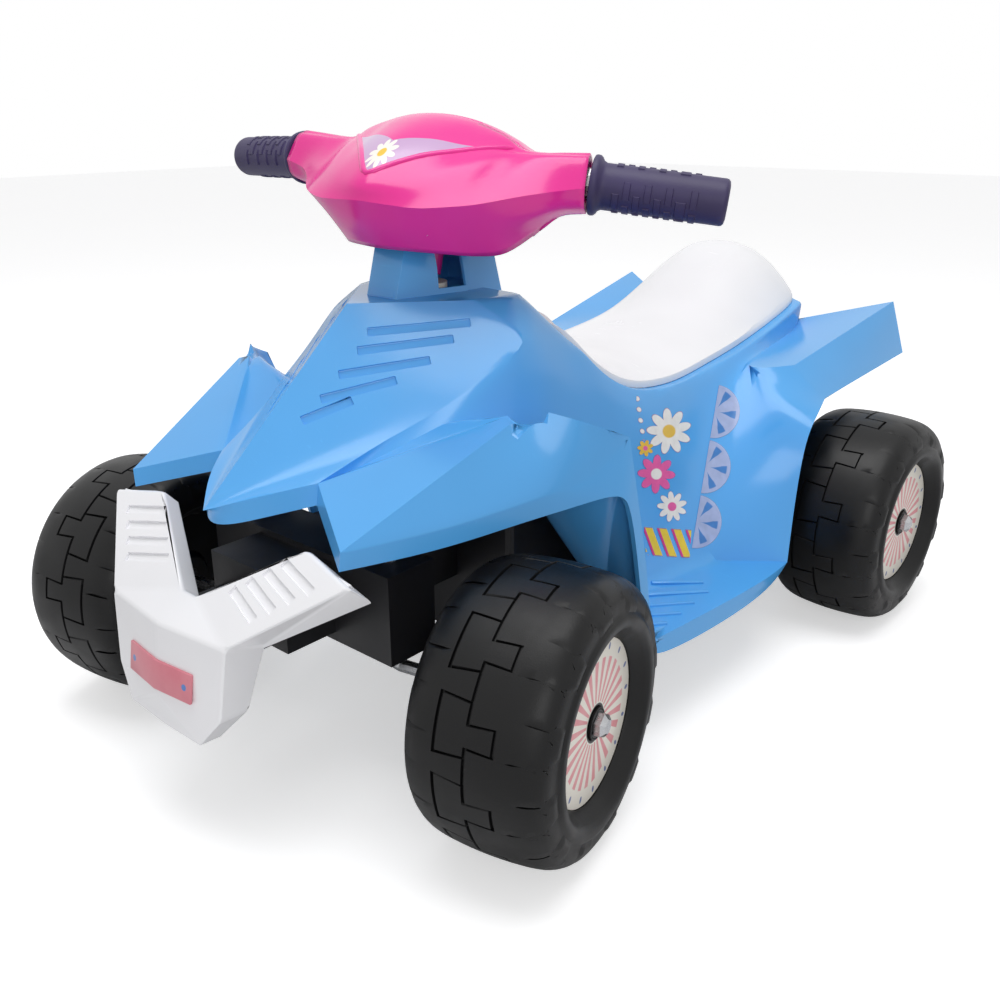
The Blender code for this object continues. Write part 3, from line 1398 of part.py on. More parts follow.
def make_drive_sleeve():
    """Sleeve that carries the output gear's turn into the driven wheel's hub."""
    start = -(GEARBOX_OUTER_X + CASE_WALL + 0.0008) + GAP
    sleeve = ring("drive_sleeve", ROD_RADIUS + RUNNING, AXLE_HOLE, start, WHEEL_INNER_X - GAP, 18)
    sleeve.location = (0, *AXLE_PLACE)
    sleeve.rotation_euler = (0, -math.pi / 2, 0)
    return keep(sleeve, "drive_sleeve", NYLON)


# Battery, wires and screws

BATTERY_LOW_Z = TUB_FLOOR_Z + TUB_WALL + GAP
LEAD_RADIUS = 0.0022
PLUG_SIZE = (0.022, 0.026, 0.012)
PLUG_PLACE = Vector((0, BATTERY_Y + (BATTERY_SIZE[1] + PLUG_SIZE[1]) / 2 + GAP, BATTERY_LOW_Z + BATTERY_SIZE[2] - 0.0153))
LEAD_START = PLUG_PLACE + Vector((0, PLUG_SIZE[1] / 2 + 0.0005, 0))
LEAD_END = Vector((CASE_INNER_X + GAP + MOTOR_LENGTH + 0.0007, *MOTOR_PLACE))
LEAD_PATH = (
    LEAD_START,
    LEAD_START + Vector((0, 0.0077, 0)),
    LEAD_START + Vector((-0.006, 0.0187, -0.008)),
    LEAD_START.lerp(LEAD_END, 0.5) + Vector((0.003, 0.0105, -0.002)),
    LEAD_END + Vector((0.0113, -0.0008, 0.0036)),
    LEAD_END + Vector((0.0053, 0, 0)),
    LEAD_END,
)
SWITCH_LEAD_PATH = (
    (BUTTON_X, -0.0850, 0.3481),
    (BUTTON_X, -0.0850, 0.3440),
    (-0.064, -0.0840, 0.3390),
    (-0.048, -0.0835, 0.3370),
    (-0.034, -0.0835, 0.3370),
    (-0.0254, -0.0835, 0.3370),
)


def make_battery():
    width, depth, height = BATTERY_SIZE
    low = (-width / 2, BATTERY_Y - depth / 2, BATTERY_LOW_Z)
    high = (width / 2, BATTERY_Y + depth / 2, BATTERY_LOW_Z + height)
    battery = box("battery", low, high, 0.002)
    return keep(battery, "battery", GREY)


def make_battery_strap():
    """Strap over the battery, hooked on the tub's floor at both sides."""
    width, _, height = BATTERY_SIZE
    thick, foot = 0.002, 0.010
    side, top = width / 2 + 2 * GAP, BATTERY_LOW_Z + height + GAP
    low = BATTERY_LOW_Z
    outline = [(side + foot, low), (side + foot, low + thick), (side + thick, low + thick),
               (side + thick, top + thick), (-side - thick, top + thick), (-side - thick, low + thick),
               (-side - foot, low + thick), (-side - foot, low), (-side, low), (-side, top), (side, top), (side, low)]
    strap = plate("battery_strap", [outline], 0.014)
    strap.rotation_euler = (math.pi / 2, 0, 0)
    strap.location = (0, BATTERY_Y, 0)
    return keep(strap, "battery_strap", BLACK)


def make_battery_plug():
    """Plug in two halves' outline on the battery's rear face, where the charger is joined."""
    half = Vector(PLUG_SIZE) / 2
    plug = box("battery_plug", PLUG_PLACE - half, PLUG_PLACE + half, 0.001)
    return keep(plug, "battery_plug", NYLON)


def smooth_route(points, steps=4):
    """Points on a smooth curve through a route's own points."""
    route = [Vector(point) for point in points]
    ends = [2 * route[0] - route[1]] + route + [2 * route[-1] - route[-2]]
    path = []
    for before, start, end, after in zip(ends, ends[1:], ends[2:], ends[3:]):
        for step in range(steps):
            t = step / steps
            path.append(0.5 * (2 * start + (end - before) * t + (2 * before - 5 * start + 4 * end - after) * t * t
                               + (3 * start - before - 3 * end + after) * t ** 3))
    path.append(route[-1])
    return path


def make_leads():
    lead = rod("battery_lead", smooth_route(LEAD_PATH), LEAD_RADIUS, 1)
    switch_lead = rod("switch_lead", smooth_route(SWITCH_LEAD_PATH), 0.0014, 1)
    return keep(lead, "battery_lead", WIRE_RED), keep(switch_lead, "switch_lead", WIRE_RED)


# Run

def main():
    make_body()
    make_seat()
    make_bumper()
    make_plate()
    make_front_frame()
    make_tub()
    make_upper_bush()
    make_lower_bush()
    make_rear_axle()
    make_axle_bush("left", 1)
    make_axle_bush("right", -1)
    make_drive_sleeve()
    make_gears()
    make_gearbox()
    make_motor()
    make_battery()
    make_battery_strap()
    make_battery_plug()
    lead, switch_lead = make_leads()

    for name, side in (("left", 1), ("right", -1)):
        make_wheel(f"rear_{name}", side, REAR_WHEEL_X, AXLE_Y)
        pieces = make_wheel(f"front_{name}", side, FRONT_WHEEL_X, -AXLE_Y)
        pieces.append(make_kingpin_rod(name, side))
        kingpin = frame_empty(f"kingpin_{name}", (side * KINGPIN_X, -AXLE_Y, WHEEL_RADIUS))
        carry(kingpin, pieces)
        kingpin.rotation_euler = (0, 0, STEER_AT_REST)

    tie = make_tie_plate()
    tie_swing = Vector((-ARM_LENGTH * math.sin(STEER_AT_REST), ARM_LENGTH * (math.cos(STEER_AT_REST) - 1), 0))
    tie.location += tie_swing

    steered = [make_column(), make_pitman_arm(), make_column_sleeve(), make_handlebar(), make_clamp(),
               make_grip("left", 1), make_grip("right", -1), make_cover_front(), make_cover_rear(),
               make_cover_screw("left", 1), make_cover_screw("right", -1), make_button(), make_switch(), switch_lead]
    steering = frame_empty("steering", STEER_POINT)
    steering.rotation_mode = "QUATERNION"
    carry(steering, steered)
    steering.rotation_quaternion = Quaternion(STEER_AXIS, STEER_AT_REST)


main()
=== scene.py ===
# %% [markdown]
# # A toddler's ride-on quad, dressed for a product picture
#
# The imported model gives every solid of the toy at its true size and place. This lesson keeps
# those solids as a frame and gives each visible one its finished form and its material:
# glossy blown plastic, satin black wheels, soft grips, printed stickers and bright steel.
# Everything is in metres. The front faces -Y, the rider's left is +X, and Z is up.

# %% Load the frame
import json
import math

import bmesh
import bpy
from mathutils import Matrix, Vector
from mathutils.bvhtree import BVHTree
from mathutils.geometry import intersect_point_line

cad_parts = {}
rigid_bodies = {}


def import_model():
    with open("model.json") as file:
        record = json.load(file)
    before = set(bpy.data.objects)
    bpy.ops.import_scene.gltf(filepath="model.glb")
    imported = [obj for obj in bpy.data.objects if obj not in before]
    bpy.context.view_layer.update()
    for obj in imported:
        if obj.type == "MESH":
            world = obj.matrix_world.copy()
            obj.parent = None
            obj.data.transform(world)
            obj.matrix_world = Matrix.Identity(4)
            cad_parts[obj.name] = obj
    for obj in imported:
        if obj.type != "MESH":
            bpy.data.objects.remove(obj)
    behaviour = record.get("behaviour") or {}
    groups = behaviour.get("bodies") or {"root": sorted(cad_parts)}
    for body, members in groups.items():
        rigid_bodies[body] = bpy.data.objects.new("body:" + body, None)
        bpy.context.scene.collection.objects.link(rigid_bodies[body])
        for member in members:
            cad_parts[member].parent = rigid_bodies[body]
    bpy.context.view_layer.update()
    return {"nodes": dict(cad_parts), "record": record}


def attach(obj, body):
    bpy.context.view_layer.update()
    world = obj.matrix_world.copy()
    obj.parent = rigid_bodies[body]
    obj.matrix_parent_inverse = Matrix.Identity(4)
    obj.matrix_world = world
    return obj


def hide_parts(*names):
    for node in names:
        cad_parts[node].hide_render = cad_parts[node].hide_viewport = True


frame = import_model()
JOINTS = {joint["name"]: joint for joint in frame["record"]["behaviour"]["joints"]}
BODY_OF = {node: body for body, nodes in frame["record"]["behaviour"]["bodies"].items()
           for node in nodes}

# %% [markdown]
# ## Camera
#
# The picture was taken from the front left, a little above the hood. A camera could be aimed
# with a Track To constraint, but here its three axes are written out, because they were
# worked out from the wheels' ellipses and the body's symmetry. The small shift puts the
# optical centre where the picture has it.

# %% Camera
CAMERA_PLACE = Vector((0.4645, -0.5728, 0.3937))
CAMERA_RIGHT = Vector((0.7511, 0.6602, -0.0045))
CAMERA_UP = Vector((-0.2308, 0.2689, 0.9351))


def make_camera():
    """A camera at the picture's standpoint, with its axes as columns of a matrix."""
    data = bpy.data.cameras.new("camera")
    data.sensor_width = 36
    data.lens = 36.94
    data.shift_x = 0.008
    data.shift_y = -0.0055
    data.clip_start = 0.01
    camera = bpy.data.objects.new("camera", data)
    bpy.context.scene.collection.objects.link(camera)
    back = CAMERA_RIGHT.cross(CAMERA_UP).normalized()
    up = back.cross(CAMERA_RIGHT).normalized()
    turn = Matrix((CAMERA_RIGHT.normalized(), up, back)).transposed().to_4x4()
    camera.matrix_world = Matrix.Translation(CAMERA_PLACE) @ turn
    bpy.context.scene.camera = camera
    return camera


camera = make_camera()
print(f"camera {camera.location.length:.2f} m from the middle of the floor")

# %% [markdown]
# ## Colours and node helpers
#
# Colours are easier to read as the usual hex values, but shaders work in linear light, so a
# small function converts them. Each material below starts from one builder, which joins a
# few noise textures to the colour, the roughness and the bump of a Principled shader.
# Object coordinates keep the grain fixed to the piece, in metres. Printed shapes are masks:
# maths nodes work out a distance, and a narrow range of it runs from 1 to 0.

# %% Colour and node helpers
def linear(hex_code):
    """Linear RGBA of a colour written as six hex digits."""
    parts = [int(hex_code[i:i + 2], 16) / 255 for i in (0, 2, 4)]
    return (*(p / 12.92 if p <= 0.04045 else ((p + 0.055) / 1.055) ** 2.4 for p in parts), 1.0)


def shaded(colour, factor):
    """A colour made darker or lighter."""
    return (*(min(1.0, part * factor) for part in colour[:3]), 1.0)


class Finish:
    """A material under construction: short calls add nodes and join them."""

    def __init__(self, name):
        self.material = bpy.data.materials.new(name)
        self.material.use_nodes = True
        self.tree = self.material.node_tree
        self.shader = self.tree.nodes["Principled BSDF"]
        self.place = self.add("ShaderNodeTexCoord").outputs["Object"]

    def put(self, socket, value):
        """Joins another node's output to a socket, or sets the socket's value."""
        if isinstance(value, bpy.types.NodeSocket):
            self.tree.links.new(value, socket)
        else:
            socket.default_value = value

    def add(self, kind, **inputs):
        node = self.tree.nodes.new(kind)
        for key, value in inputs.items():
            self.put(node.inputs[key.replace("_", " ")], value)
        return node

    def set(self, **values):
        for key, value in values.items():
            self.put(self.shader.inputs[key.replace("_", " ")], value)
        return self.material

    def noise(self, scale, detail=3.0, vector=None):
        node = self.add("ShaderNodeTexNoise", Scale=scale, Detail=detail,
                        Vector=vector or self.place)
        return node.outputs["Fac"]

    def stretched(self, scale, turn=(0.0, 0.0, 0.0)):
        """The piece's coordinates, stretched so that noise runs out into lines."""
        node = self.add("ShaderNodeMapping", Vector=self.place, Scale=scale, Rotation=turn)
        return node.outputs["Vector"]

    def spread(self, value, low, high, to_low=0.0, to_high=1.0):
        """A value's range stretched onto another, with its ends held."""
        node = self.add("ShaderNodeMapRange", Value=value, From_Min=low, From_Max=high,
                        To_Min=to_low, To_Max=to_high)
        return node.outputs["Result"]

    def below(self, value, low, high):
        """A mask that is 1 under a narrow range of the value and 0 over it."""
        return self.spread(value, low, high, 1.0, 0.0)

    def math(self, operation, *values):
        node = self.add("ShaderNodeMath")
        node.operation = operation
        for socket, value in zip(node.inputs, values):
            self.put(socket, value)
        return node.outputs["Value"]

    def times(self, first, second):
        return self.math("MULTIPLY", first, second)

    def minus(self, first, second):
        return self.math("SUBTRACT", first, second)

    def reach(self, across, up):
        """How far a point with two coordinates lies from their origin."""
        return self.math("SQRT", self.math("ADD", self.times(across, across), self.times(up, up)))

    def off_middle(self, value):
        """How far a value stands from the middle of its own unit step."""
        return self.minus(self.math("FRACT", value), 0.5)

    def print_map(self):
        """The two coordinates of a piece's print map."""
        node = self.add("ShaderNodeUVMap")
        node.uv_map = "print"
        split = self.add("ShaderNodeSeparateXYZ", Vector=node.outputs["UV"])
        return split.outputs["X"], split.outputs["Y"]

    def mix(self, share, first, second):
        node = self.add("ShaderNodeMix")
        node.data_type = "RGBA"
        for number, value in ((0, share), (6, first), (7, second)):
            self.put(node.inputs[number], value)
        return node.outputs[2]

    def bump(self, height, strength, distance, before=None):
        node = self.add("ShaderNodeBump", Strength=strength, Distance=distance, Height=height)
        if before:
            self.put(node.inputs["Normal"], before)
        return node.outputs["Normal"]

    def plastic_skin(self, wave, grain):
        """The slight waves of a moulded skin, with a fine grain on them."""
        waves = self.bump(self.noise(WAVE_SCALE, 1.0), wave, WAVE_HEIGHT)
        return self.bump(self.noise(GRAIN_SCALE, 2.0), grain, GRAIN_HEIGHT, waves)


print("helpers ready")

# %% [markdown]
# ## Moulded plastics
#
# A blown or injected plastic skin is never quite even: the colour drifts a little, the
# polish varies, and the surface waves very slightly, which breaks up long reflections. A
# clear coat would look like car paint, so the gloss comes from a low roughness alone. Fine
# scuffs are drawn by a noise that is stretched along one axis and cut to thin lines.

# %% Moulded plastics
DRIFT_SCALE, POLISH_SCALE = 9.0, 26.0        # noise scales are in cycles per metre
WAVE_SCALE, WAVE_HEIGHT = 16.0, 0.0006
GRAIN_SCALE, GRAIN_HEIGHT = 1400.0, 0.0002
SCUFF_STRETCH, SCUFF_TURN = (40.0, 900.0, 260.0), (0.3, 0.5, 0.7)
PLASTIC_IOR = 1.5


def moulded(name, colour, roughness, wave=0.35, grain=0.06, scuffs=0.25):
    """A moulded plastic with drifting colour, uneven polish, slight waves and thin scuffs."""
    made = Finish(name)
    drift = made.spread(made.noise(DRIFT_SCALE, 2.0), 0.3, 0.7)
    tone = made.mix(drift, shaded(colour, 0.95), shaded(colour, 1.04))
    lines = made.spread(made.noise(1.0, 1.0, made.stretched(SCUFF_STRETCH, SCUFF_TURN)), 0.7, 0.76)
    scuff = made.times(lines, made.spread(made.noise(14.0, 2.0), 0.52, 0.66, 0.0, scuffs))
    tone = made.mix(scuff, tone, shaded(colour, 1.35))
    polish = made.spread(made.noise(POLISH_SCALE, 4.0), 0.25, 0.75, roughness * 0.8,
                         roughness * 1.3)
    polish = made.math("ADD", polish, made.times(scuff, 0.3))
    return made.set(Base_Color=tone, Roughness=polish, Normal=made.plastic_skin(wave, grain),
                    IOR=PLASTIC_IOR)


BODY_PLASTIC = moulded("body_plastic", linear("55ABEE"), 0.16)
WHITE_PLASTIC = moulded("white_plastic", linear("F3F3F6"), 0.22)
MAGENTA_PLASTIC = moulded("magenta_plastic", linear("EC2A97"), 0.2, wave=0.2)
BLACK_PLASTIC = moulded("black_plastic", linear("1B1B1E"), 0.42)
HUB_PLASTIC = moulded("hub_black", linear("101012"), 0.35)
BUTTON_PLASTIC = moulded("button_plastic", linear("4B4B52"), 0.4)
NYLON = moulded("natural_nylon", linear("E6E3D8"), 0.45)
BATTERY_CASE = moulded("battery_case", linear("4C4C52"), 0.5)
WIRE = moulded("wire_insulation", linear("A01818"), 0.4)
print("moulded plastics made")

# %% [markdown]
# ## Steel, brass, grip rubber and tyre plastic
#
# Zinc plated rods are bright but not mirrors, so metallic steel gets a brushed roughness.
# The grips are a soft dark rubber with a matt grain. The wheels are blown black plastic
# with a satin skin that is a little dusty on the tread.

# %% Metals, rubber and tyre plastic
def plated(name, colour, roughness):
    made = Finish(name)
    brush = made.stretched((30.0, 600.0, 600.0))
    streaks = made.spread(made.noise(1.0, 3.0, brush), 0.3, 0.7, roughness * 0.7, roughness * 1.4)
    tone = made.mix(made.spread(made.noise(60.0, 4.0), 0.35, 0.7), colour, shaded(colour, 0.72))
    return made.set(Base_Color=tone, Roughness=streaks, Metallic=1.0)


def grip_rubber():
    made = Finish("grip_rubber")
    colour = linear("2E2350")
    tone = made.mix(made.spread(made.noise(30.0), 0.3, 0.7), shaded(colour, 0.85),
                    shaded(colour, 1.15))
    normal = made.bump(made.noise(2200.0, 2.0), 0.25, 0.0003)
    return made.set(Base_Color=tone, Roughness=0.5, Normal=normal)


def wheel_plastic():
    made = Finish("wheel_plastic")
    dust = made.spread(made.noise(22.0, 5.0), 0.45, 0.8, 0.0, 0.4)
    tone = made.mix(dust, linear("070708"), linear("111113"))
    polish = made.spread(made.noise(35.0, 4.0), 0.3, 0.7, 0.32, 0.5)
    waves = made.bump(made.noise(30.0, 2.0), 0.3, 0.0008)
    normal = made.bump(made.noise(1500.0, 2.0), 0.2, 0.0003, waves)
    return made.set(Base_Color=tone, Roughness=polish, Normal=normal, Specular_IOR_Level=0.3)


STEEL = plated("zinc_plated_steel", linear("C9CACD"), 0.28)
BRASS = plated("brass", linear("D2B36B"), 0.3)
GRIP_RUBBER = grip_rubber()
WHEEL_PLASTIC = wheel_plastic()
print("metals, rubber and tyre plastic made")

# %% [markdown]
# ## Materials on the solids that stay
#
# Many solids already have the right form: rods, nuts, the chassis, the gears. They keep
# their meshes and only get a finish, picked by the material slot that the record names.

# %% Finish the solids by their slot
FINISH_OF_SLOT = {
    "blue_plastic": BODY_PLASTIC,
    "white_plastic": WHITE_PLASTIC,
    "magenta_plastic": MAGENTA_PLASTIC,
    "grip_rubber": GRIP_RUBBER,
    "black_plastic": BLACK_PLASTIC,
    "wheel_plastic": WHEEL_PLASTIC,
    "disc_ivory": WHITE_PLASTIC,
    "plate_rose": WHITE_PLASTIC,
    "steel": STEEL,
    "brass": BRASS,
    "natural_nylon": NYLON,
    "grey_plastic": BATTERY_CASE,
    "wire_insulation": WIRE,
}
SLOT_OF = {part["node"]: part["material_slot"] for part in frame["record"]["subparts"]}


def finish_solids():
    """Gives every solid the finish of its slot, and a few their own."""
    for node, obj in frame["nodes"].items():
        finish = FINISH_OF_SLOT[SLOT_OF[node]]
        if node.startswith("wheel_bush"):
            finish = HUB_PLASTIC
        if node == "drive_button":
            finish = BUTTON_PLASTIC
        obj.data.materials.clear()
        obj.data.materials.append(finish)
    return len(frame["nodes"])


print(f"{finish_solids()} solids finished")

# %% [markdown]
# ## Helpers that make a piece
#
# A finished piece is a mesh whose object sits at the origin. It rides on the body of the
# solid that it stands for, gets the material it is given, and hides that solid. A copy of a
# solid is merged first, because its triangles come loose from each other.

# %% Make, copy and shade pieces
WELD = 0.00001           # points of a copied solid nearer than this are one point


def loose_object(name, bm):
    """Turns a bmesh into an object at the origin."""
    mesh = bpy.data.meshes.new(name)
    bm.to_mesh(mesh)
    bm.free()
    made = bpy.data.objects.new(name, mesh)
    bpy.context.scene.collection.objects.link(made)
    return made


def finish_piece(name, bm, material, node, replace=True, smooth=35):
    """Turns a bmesh into a piece that rides where a solid does and may stand for it."""
    piece = loose_object(name, bm)
    piece.data.materials.append(material)
    piece.data.shade_smooth()
    piece.data.set_sharp_from_angle(angle=math.radians(smooth))
    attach(piece, BODY_OF[node])
    if replace:
        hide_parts(node)
    return piece


def weld(bm, distance=WELD):
    bmesh.ops.remove_doubles(bm, verts=bm.verts, dist=distance)


def moved(bm, matrix):
    bmesh.ops.transform(bm, matrix=matrix, verts=bm.verts)


def faces_of(piece):
    return len(piece.data.polygons)


def copy_of(node, flat_degrees=None):
    """A welded bmesh of a solid. Its almost flat edges can be dissolved too."""
    bm = bmesh.new()
    bm.from_mesh(frame["nodes"][node].data)
    weld(bm)
    if flat_degrees:
        merge_flat_faces(bm, flat_degrees)
    return bm


def merge_flat_faces(bm, degrees):
    """Dissolves edges between faces that lie almost in one plane."""
    bmesh.ops.dissolve_limit(bm, angle_limit=math.radians(degrees), verts=bm.verts, edges=bm.edges)


def cut_away(bm, point, normal, **sides):
    """Cuts a mesh at a plane and clears the side that is asked for."""
    bmesh.ops.bisect_plane(bm, geom=[*bm.verts, *bm.edges, *bm.faces], dist=0.000001,
                           plane_co=point, plane_no=normal, **sides)


def folded(edge, degrees):
    """Whether two faces meet at an edge and fold there by more than an angle."""
    return edge.is_manifold and edge.calc_face_angle(0) > math.radians(degrees)


def sharp_edges(bm, degrees):
    return [edge for edge in bm.edges if folded(edge, degrees)]


def round_off(bm, edges, width, segments=3, clamp=True, slide=False):
    """Rounds edges by a bevel of a given width."""
    bmesh.ops.bevel(bm, geom=edges, offset=width, segments=segments, affect="EDGES", profile=0.5,
                    material=-1, clamp_overlap=clamp, loop_slide=slide)


def face_outwards(bm):
    """Turns all faces the same way, with the highest one facing up."""
    bmesh.ops.recalc_face_normals(bm, faces=bm.faces)
    if max(bm.faces, key=lambda face: face.calc_center_median().z).normal.z < 0:
        bmesh.ops.reverse_faces(bm, faces=bm.faces)


print("piece helpers ready")

# %% [markdown]
# ## Wheels
#
# Each wheel is one blown plastic moulding: a broad crowned tread, round shoulders, a raised
# ring round the rim and a deep recess for the hub disc. It is a turned form, so a half
# section is drawn as an edge loop and spun about the axle. The spin's columns aren't even:
# beside each groove that crosses the tread they close up, so that the groove stays narrow.
# The tread's puzzle pattern then comes from sinking some of the spun rows and columns.
# A bump texture would be lighter, but these grooves cast real shadows along the outline.

# %% The wheel's section
WHEEL_RADIUS = 0.0825
CROWN = 2.4              # how fast the tread falls away from its middle
DISC_SEAT = 0.0322       # distance of the disc's seat from the wheel's middle plane
GROOVE_LINES = (0.015, 0.0, -0.018)
OUTER_FACE = (
    (0.0083, 0.0355), (0.0092, 0.0355), (0.0092, DISC_SEAT), (0.0476, DISC_SEAT), (0.0476, 0.0344),
    (0.0484, 0.0356), (0.0502, 0.0373), (0.0532, 0.0407), (0.0552, 0.0431), (0.0572, 0.0439),
    (0.0596, 0.044), (0.0614, 0.0436), (0.0628, 0.0424), (0.0652, 0.0419), (0.0684, 0.0416),
    (0.0716, 0.0408), (0.0744, 0.0392), (0.0768, 0.0366), (0.0786, 0.0336), (0.0798, 0.0305),
    (0.0806, 0.027),
)
INNER_FACE = (
    (0.0806, -0.027), (0.0798, -0.0305), (0.0786, -0.0336), (0.0768, -0.0366), (0.0744, -0.0392),
    (0.0716, -0.0408), (0.0684, -0.0416), (0.064, -0.0424), (0.06, -0.044), (0.056, -0.0436),
    (0.053, -0.041), (0.0505, -0.0385), (0.048, -0.033), (0.0462, -0.028), (0.02, -0.028),
    (0.016, -0.032), (0.0083, -0.032),
)


def crown(across):
    """The tread's radius at a distance from its middle."""
    return WHEEL_RADIUS - CROWN * across * across


def tread_rows():
    """Distances across the tread, with four close rows at each groove line."""
    plain = [0.024, 0.0205, 0.0178, 0.012, 0.009, 0.006, 0.003, -0.003, -0.006, -0.0095,
             -0.013, -0.0155, -0.0205, -0.024]
    close = [line + step for line in GROOVE_LINES for step in (0.001, 0.0005, -0.0005, -0.001)]
    return sorted(plain + close, reverse=True)


WHEEL_SECTION = [*OUTER_FACE, *((crown(across), across) for across in tread_rows()), *INNER_FACE]
print(f"wheel section: {len(WHEEL_SECTION)} points")

# %% [markdown]
# ## Tread pattern
#
# The tread repeats twelve times round the wheel. In each repeat two zigzag lines lock into
# each other like puzzle tabs. Columns count from 0 to 19 within a repeat, and 20 is the next
# one's first. The table says in which column a cross groove stands, at which angle, and how
# it leans. A groove is a V two columns wide.

# %% Columns and grooves of the tread
REPEATS = 12
COLUMNS = 20
CROSS_GROOVES = ((0, 0.0, 0.9), (5, 7.5, -0.7), (10, 15.7, 0.7), (14, 19.2, -0.9), (20, 30.0, 0.9))
GROOVE_SIDE = 0.5       # degrees from a cross groove's middle to its edge
GROOVE_DEPTH = 0.0016
GROOVE_REACH = 0.0006    # a row nearer to a groove line than this is its bottom
SHOULDER_CUTS = ((10, 0.0235, 0.034, 1.0), (0, 0.03, 0.038, 0.8))    # column, from, to, depth
LUG_HEIGHT = 0.0012
LUG_RADII = (0.064, 0.069)


def column_angle(column):
    """Angle in degrees of a column within its repeat."""
    for (first, low, _), (second, high, _) in zip(CROSS_GROOVES, CROSS_GROOVES[1:]):
        if column <= second:
            if column in (first, second):
                return low if column == first else high
            start, end = low + GROOVE_SIDE, high - GROOVE_SIDE
            return start + (end - start) * (column - first - 1) / max(1, second - first - 2)
    return 0.0


def column_lean(column):
    """How far the column turns, in degrees, per 10 mm across the tread."""
    for (first, _, before), (second, _, after) in zip(CROSS_GROOVES, CROSS_GROOVES[1:]):
        if column <= second:
            return before + (after - before) * (column - first) / (second - first)
    return 0.0


def groove_depth(column, across):
    """How deep the tread is cut at a column and a distance across."""
    right, middle, left = GROOVE_LINES
    on_right, on_middle, on_left = (abs(across - line) < GROOVE_REACH for line in GROOVE_LINES)
    zigzag = (on_left and column <= 14 or on_middle and not 6 <= column <= 9
              or on_right and 5 <= column <= 10)
    crossing = (column in (0, 14) and left - GROOVE_REACH < across < middle + GROOVE_REACH
                or column in (5, 10) and middle - GROOVE_REACH < across < right + GROOVE_REACH)
    if zigzag or crossing:
        return GROOVE_DEPTH
    for place, low, high, share in SHOULDER_CUTS:
        if column == place and low < abs(across) < high:
            return GROOVE_DEPTH * share
    return 0.0


def side_lug(column, radius):
    """How far the blocks on the sidewall stand out."""
    return LUG_HEIGHT if LUG_RADII[0] < radius < LUG_RADII[1] and 2 <= column <= 8 else 0.0


print(f"tread: {REPEATS} repeats of {COLUMNS} columns")

# %% [markdown]
# ## Spin, sink and place the wheels
#
# The spin makes even columns. Each vertex then moves to its column's real angle and gets its
# groove or lug. A wheel's place comes from its joint: the joint's point is the middle of the
# wheel, and its axis is the axle.

# %% Make the four wheels
TREAD_FROM = 0.0735      # radius from which grooves are cut
TURNED_FROM = 0.045      # the recess for the disc stays as it was spun


def spun(section, steps, closed=True):
    """A section of (radius, height) points turned about local Z."""
    bm = bmesh.new()
    points = [bm.verts.new((radius, 0, height)) for radius, height in section]
    after = points[1:] + points[:1] if closed else points[1:]
    edges = [bm.edges.new(pair) for pair in zip(points, after)]
    bmesh.ops.spin(bm, geom=points + edges, axis=(0, 0, 1), cent=(0, 0, 0), dvec=(0, 0, 0),
                   angle=2 * math.pi, steps=steps, use_merge=True)
    weld(bm, 0.00002)
    bmesh.ops.recalc_face_normals(bm, faces=bm.faces)
    return bm


def shape_tread(bm):
    """Moves each vertex to its column's angle, sinks the grooves and raises the lugs."""
    step = 2 * math.pi / (REPEATS * COLUMNS)
    for vert in bm.verts:
        radius = math.hypot(vert.co.x, vert.co.y)
        if radius < TURNED_FROM:
            continue
        count = round(math.atan2(vert.co.y, vert.co.x) / step) % (REPEATS * COLUMNS)
        repeat, column = divmod(count, COLUMNS)
        across, degrees = vert.co.z, repeat * 360 / REPEATS + column_angle(column)
        if radius > TREAD_FROM:
            degrees += column_lean(column) * across * 100
            radius -= groove_depth(column, across)
        across += math.copysign(side_lug(column, radius), across)
        angle = math.radians(degrees)
        vert.co = (radius * math.cos(angle), radius * math.sin(angle), across)
    return bm


def axle_frame(joint, outward):
    """Matrix of a wheel's own frame: Z along the axle and out, at the joint's point."""
    axis = Vector(joint["axis"]) * outward
    return Matrix.Translation(joint["pos_m"]) @ axis.to_track_quat("Z", "Y").to_matrix().to_4x4()


WHEELS = {}
for name, joint in JOINTS.items():
    if "_spin_" in name and name.endswith(("left", "right")):
        end, side = name.split("_spin_")
        WHEELS[f"{end}_{side}"] = axle_frame(joint, 1 if side == "left" else -1)

for name, place in WHEELS.items():
    tyre = shape_tread(spun(WHEEL_SECTION, REPEATS * COLUMNS))
    moved(tyre, place)
    piece = finish_piece(f"tyre_{name}", tyre, WHEEL_PLASTIC, f"wheel_{name}", smooth=32)
print(f"{len(WHEELS)} wheels of {faces_of(piece)} faces")

# %% [markdown]
# ## Printed hub discs
#
# A thin plastic disc with a paper-like print sits in each wheel: rose rays from the hub to
# three quarters of the radius, and a ring of small blue dots near the edge. The disc is
# spun too. The print isn't an image: a UV map holds each point's place on the disc, and a
# few maths nodes turn that into an angle and a distance, from which rays and dots are cut.

# %% Disc print and discs
DISC_RADIUS = 0.0472
DISC_FACE = 0.034
RAYS = 24
DOTS = 16
DOT_RING = 0.9           # share of the disc's radius at which the dots stand
DISC_SECTION = (
    (0.0097, DISC_FACE - 0.0002), (0.01, DISC_FACE), (0.03, DISC_FACE), (0.0464, DISC_FACE),
    (DISC_RADIUS, DISC_FACE - 0.0004), (DISC_RADIUS, DISC_FACE - 0.0015),
    (0.0097, DISC_FACE - 0.0015),
)


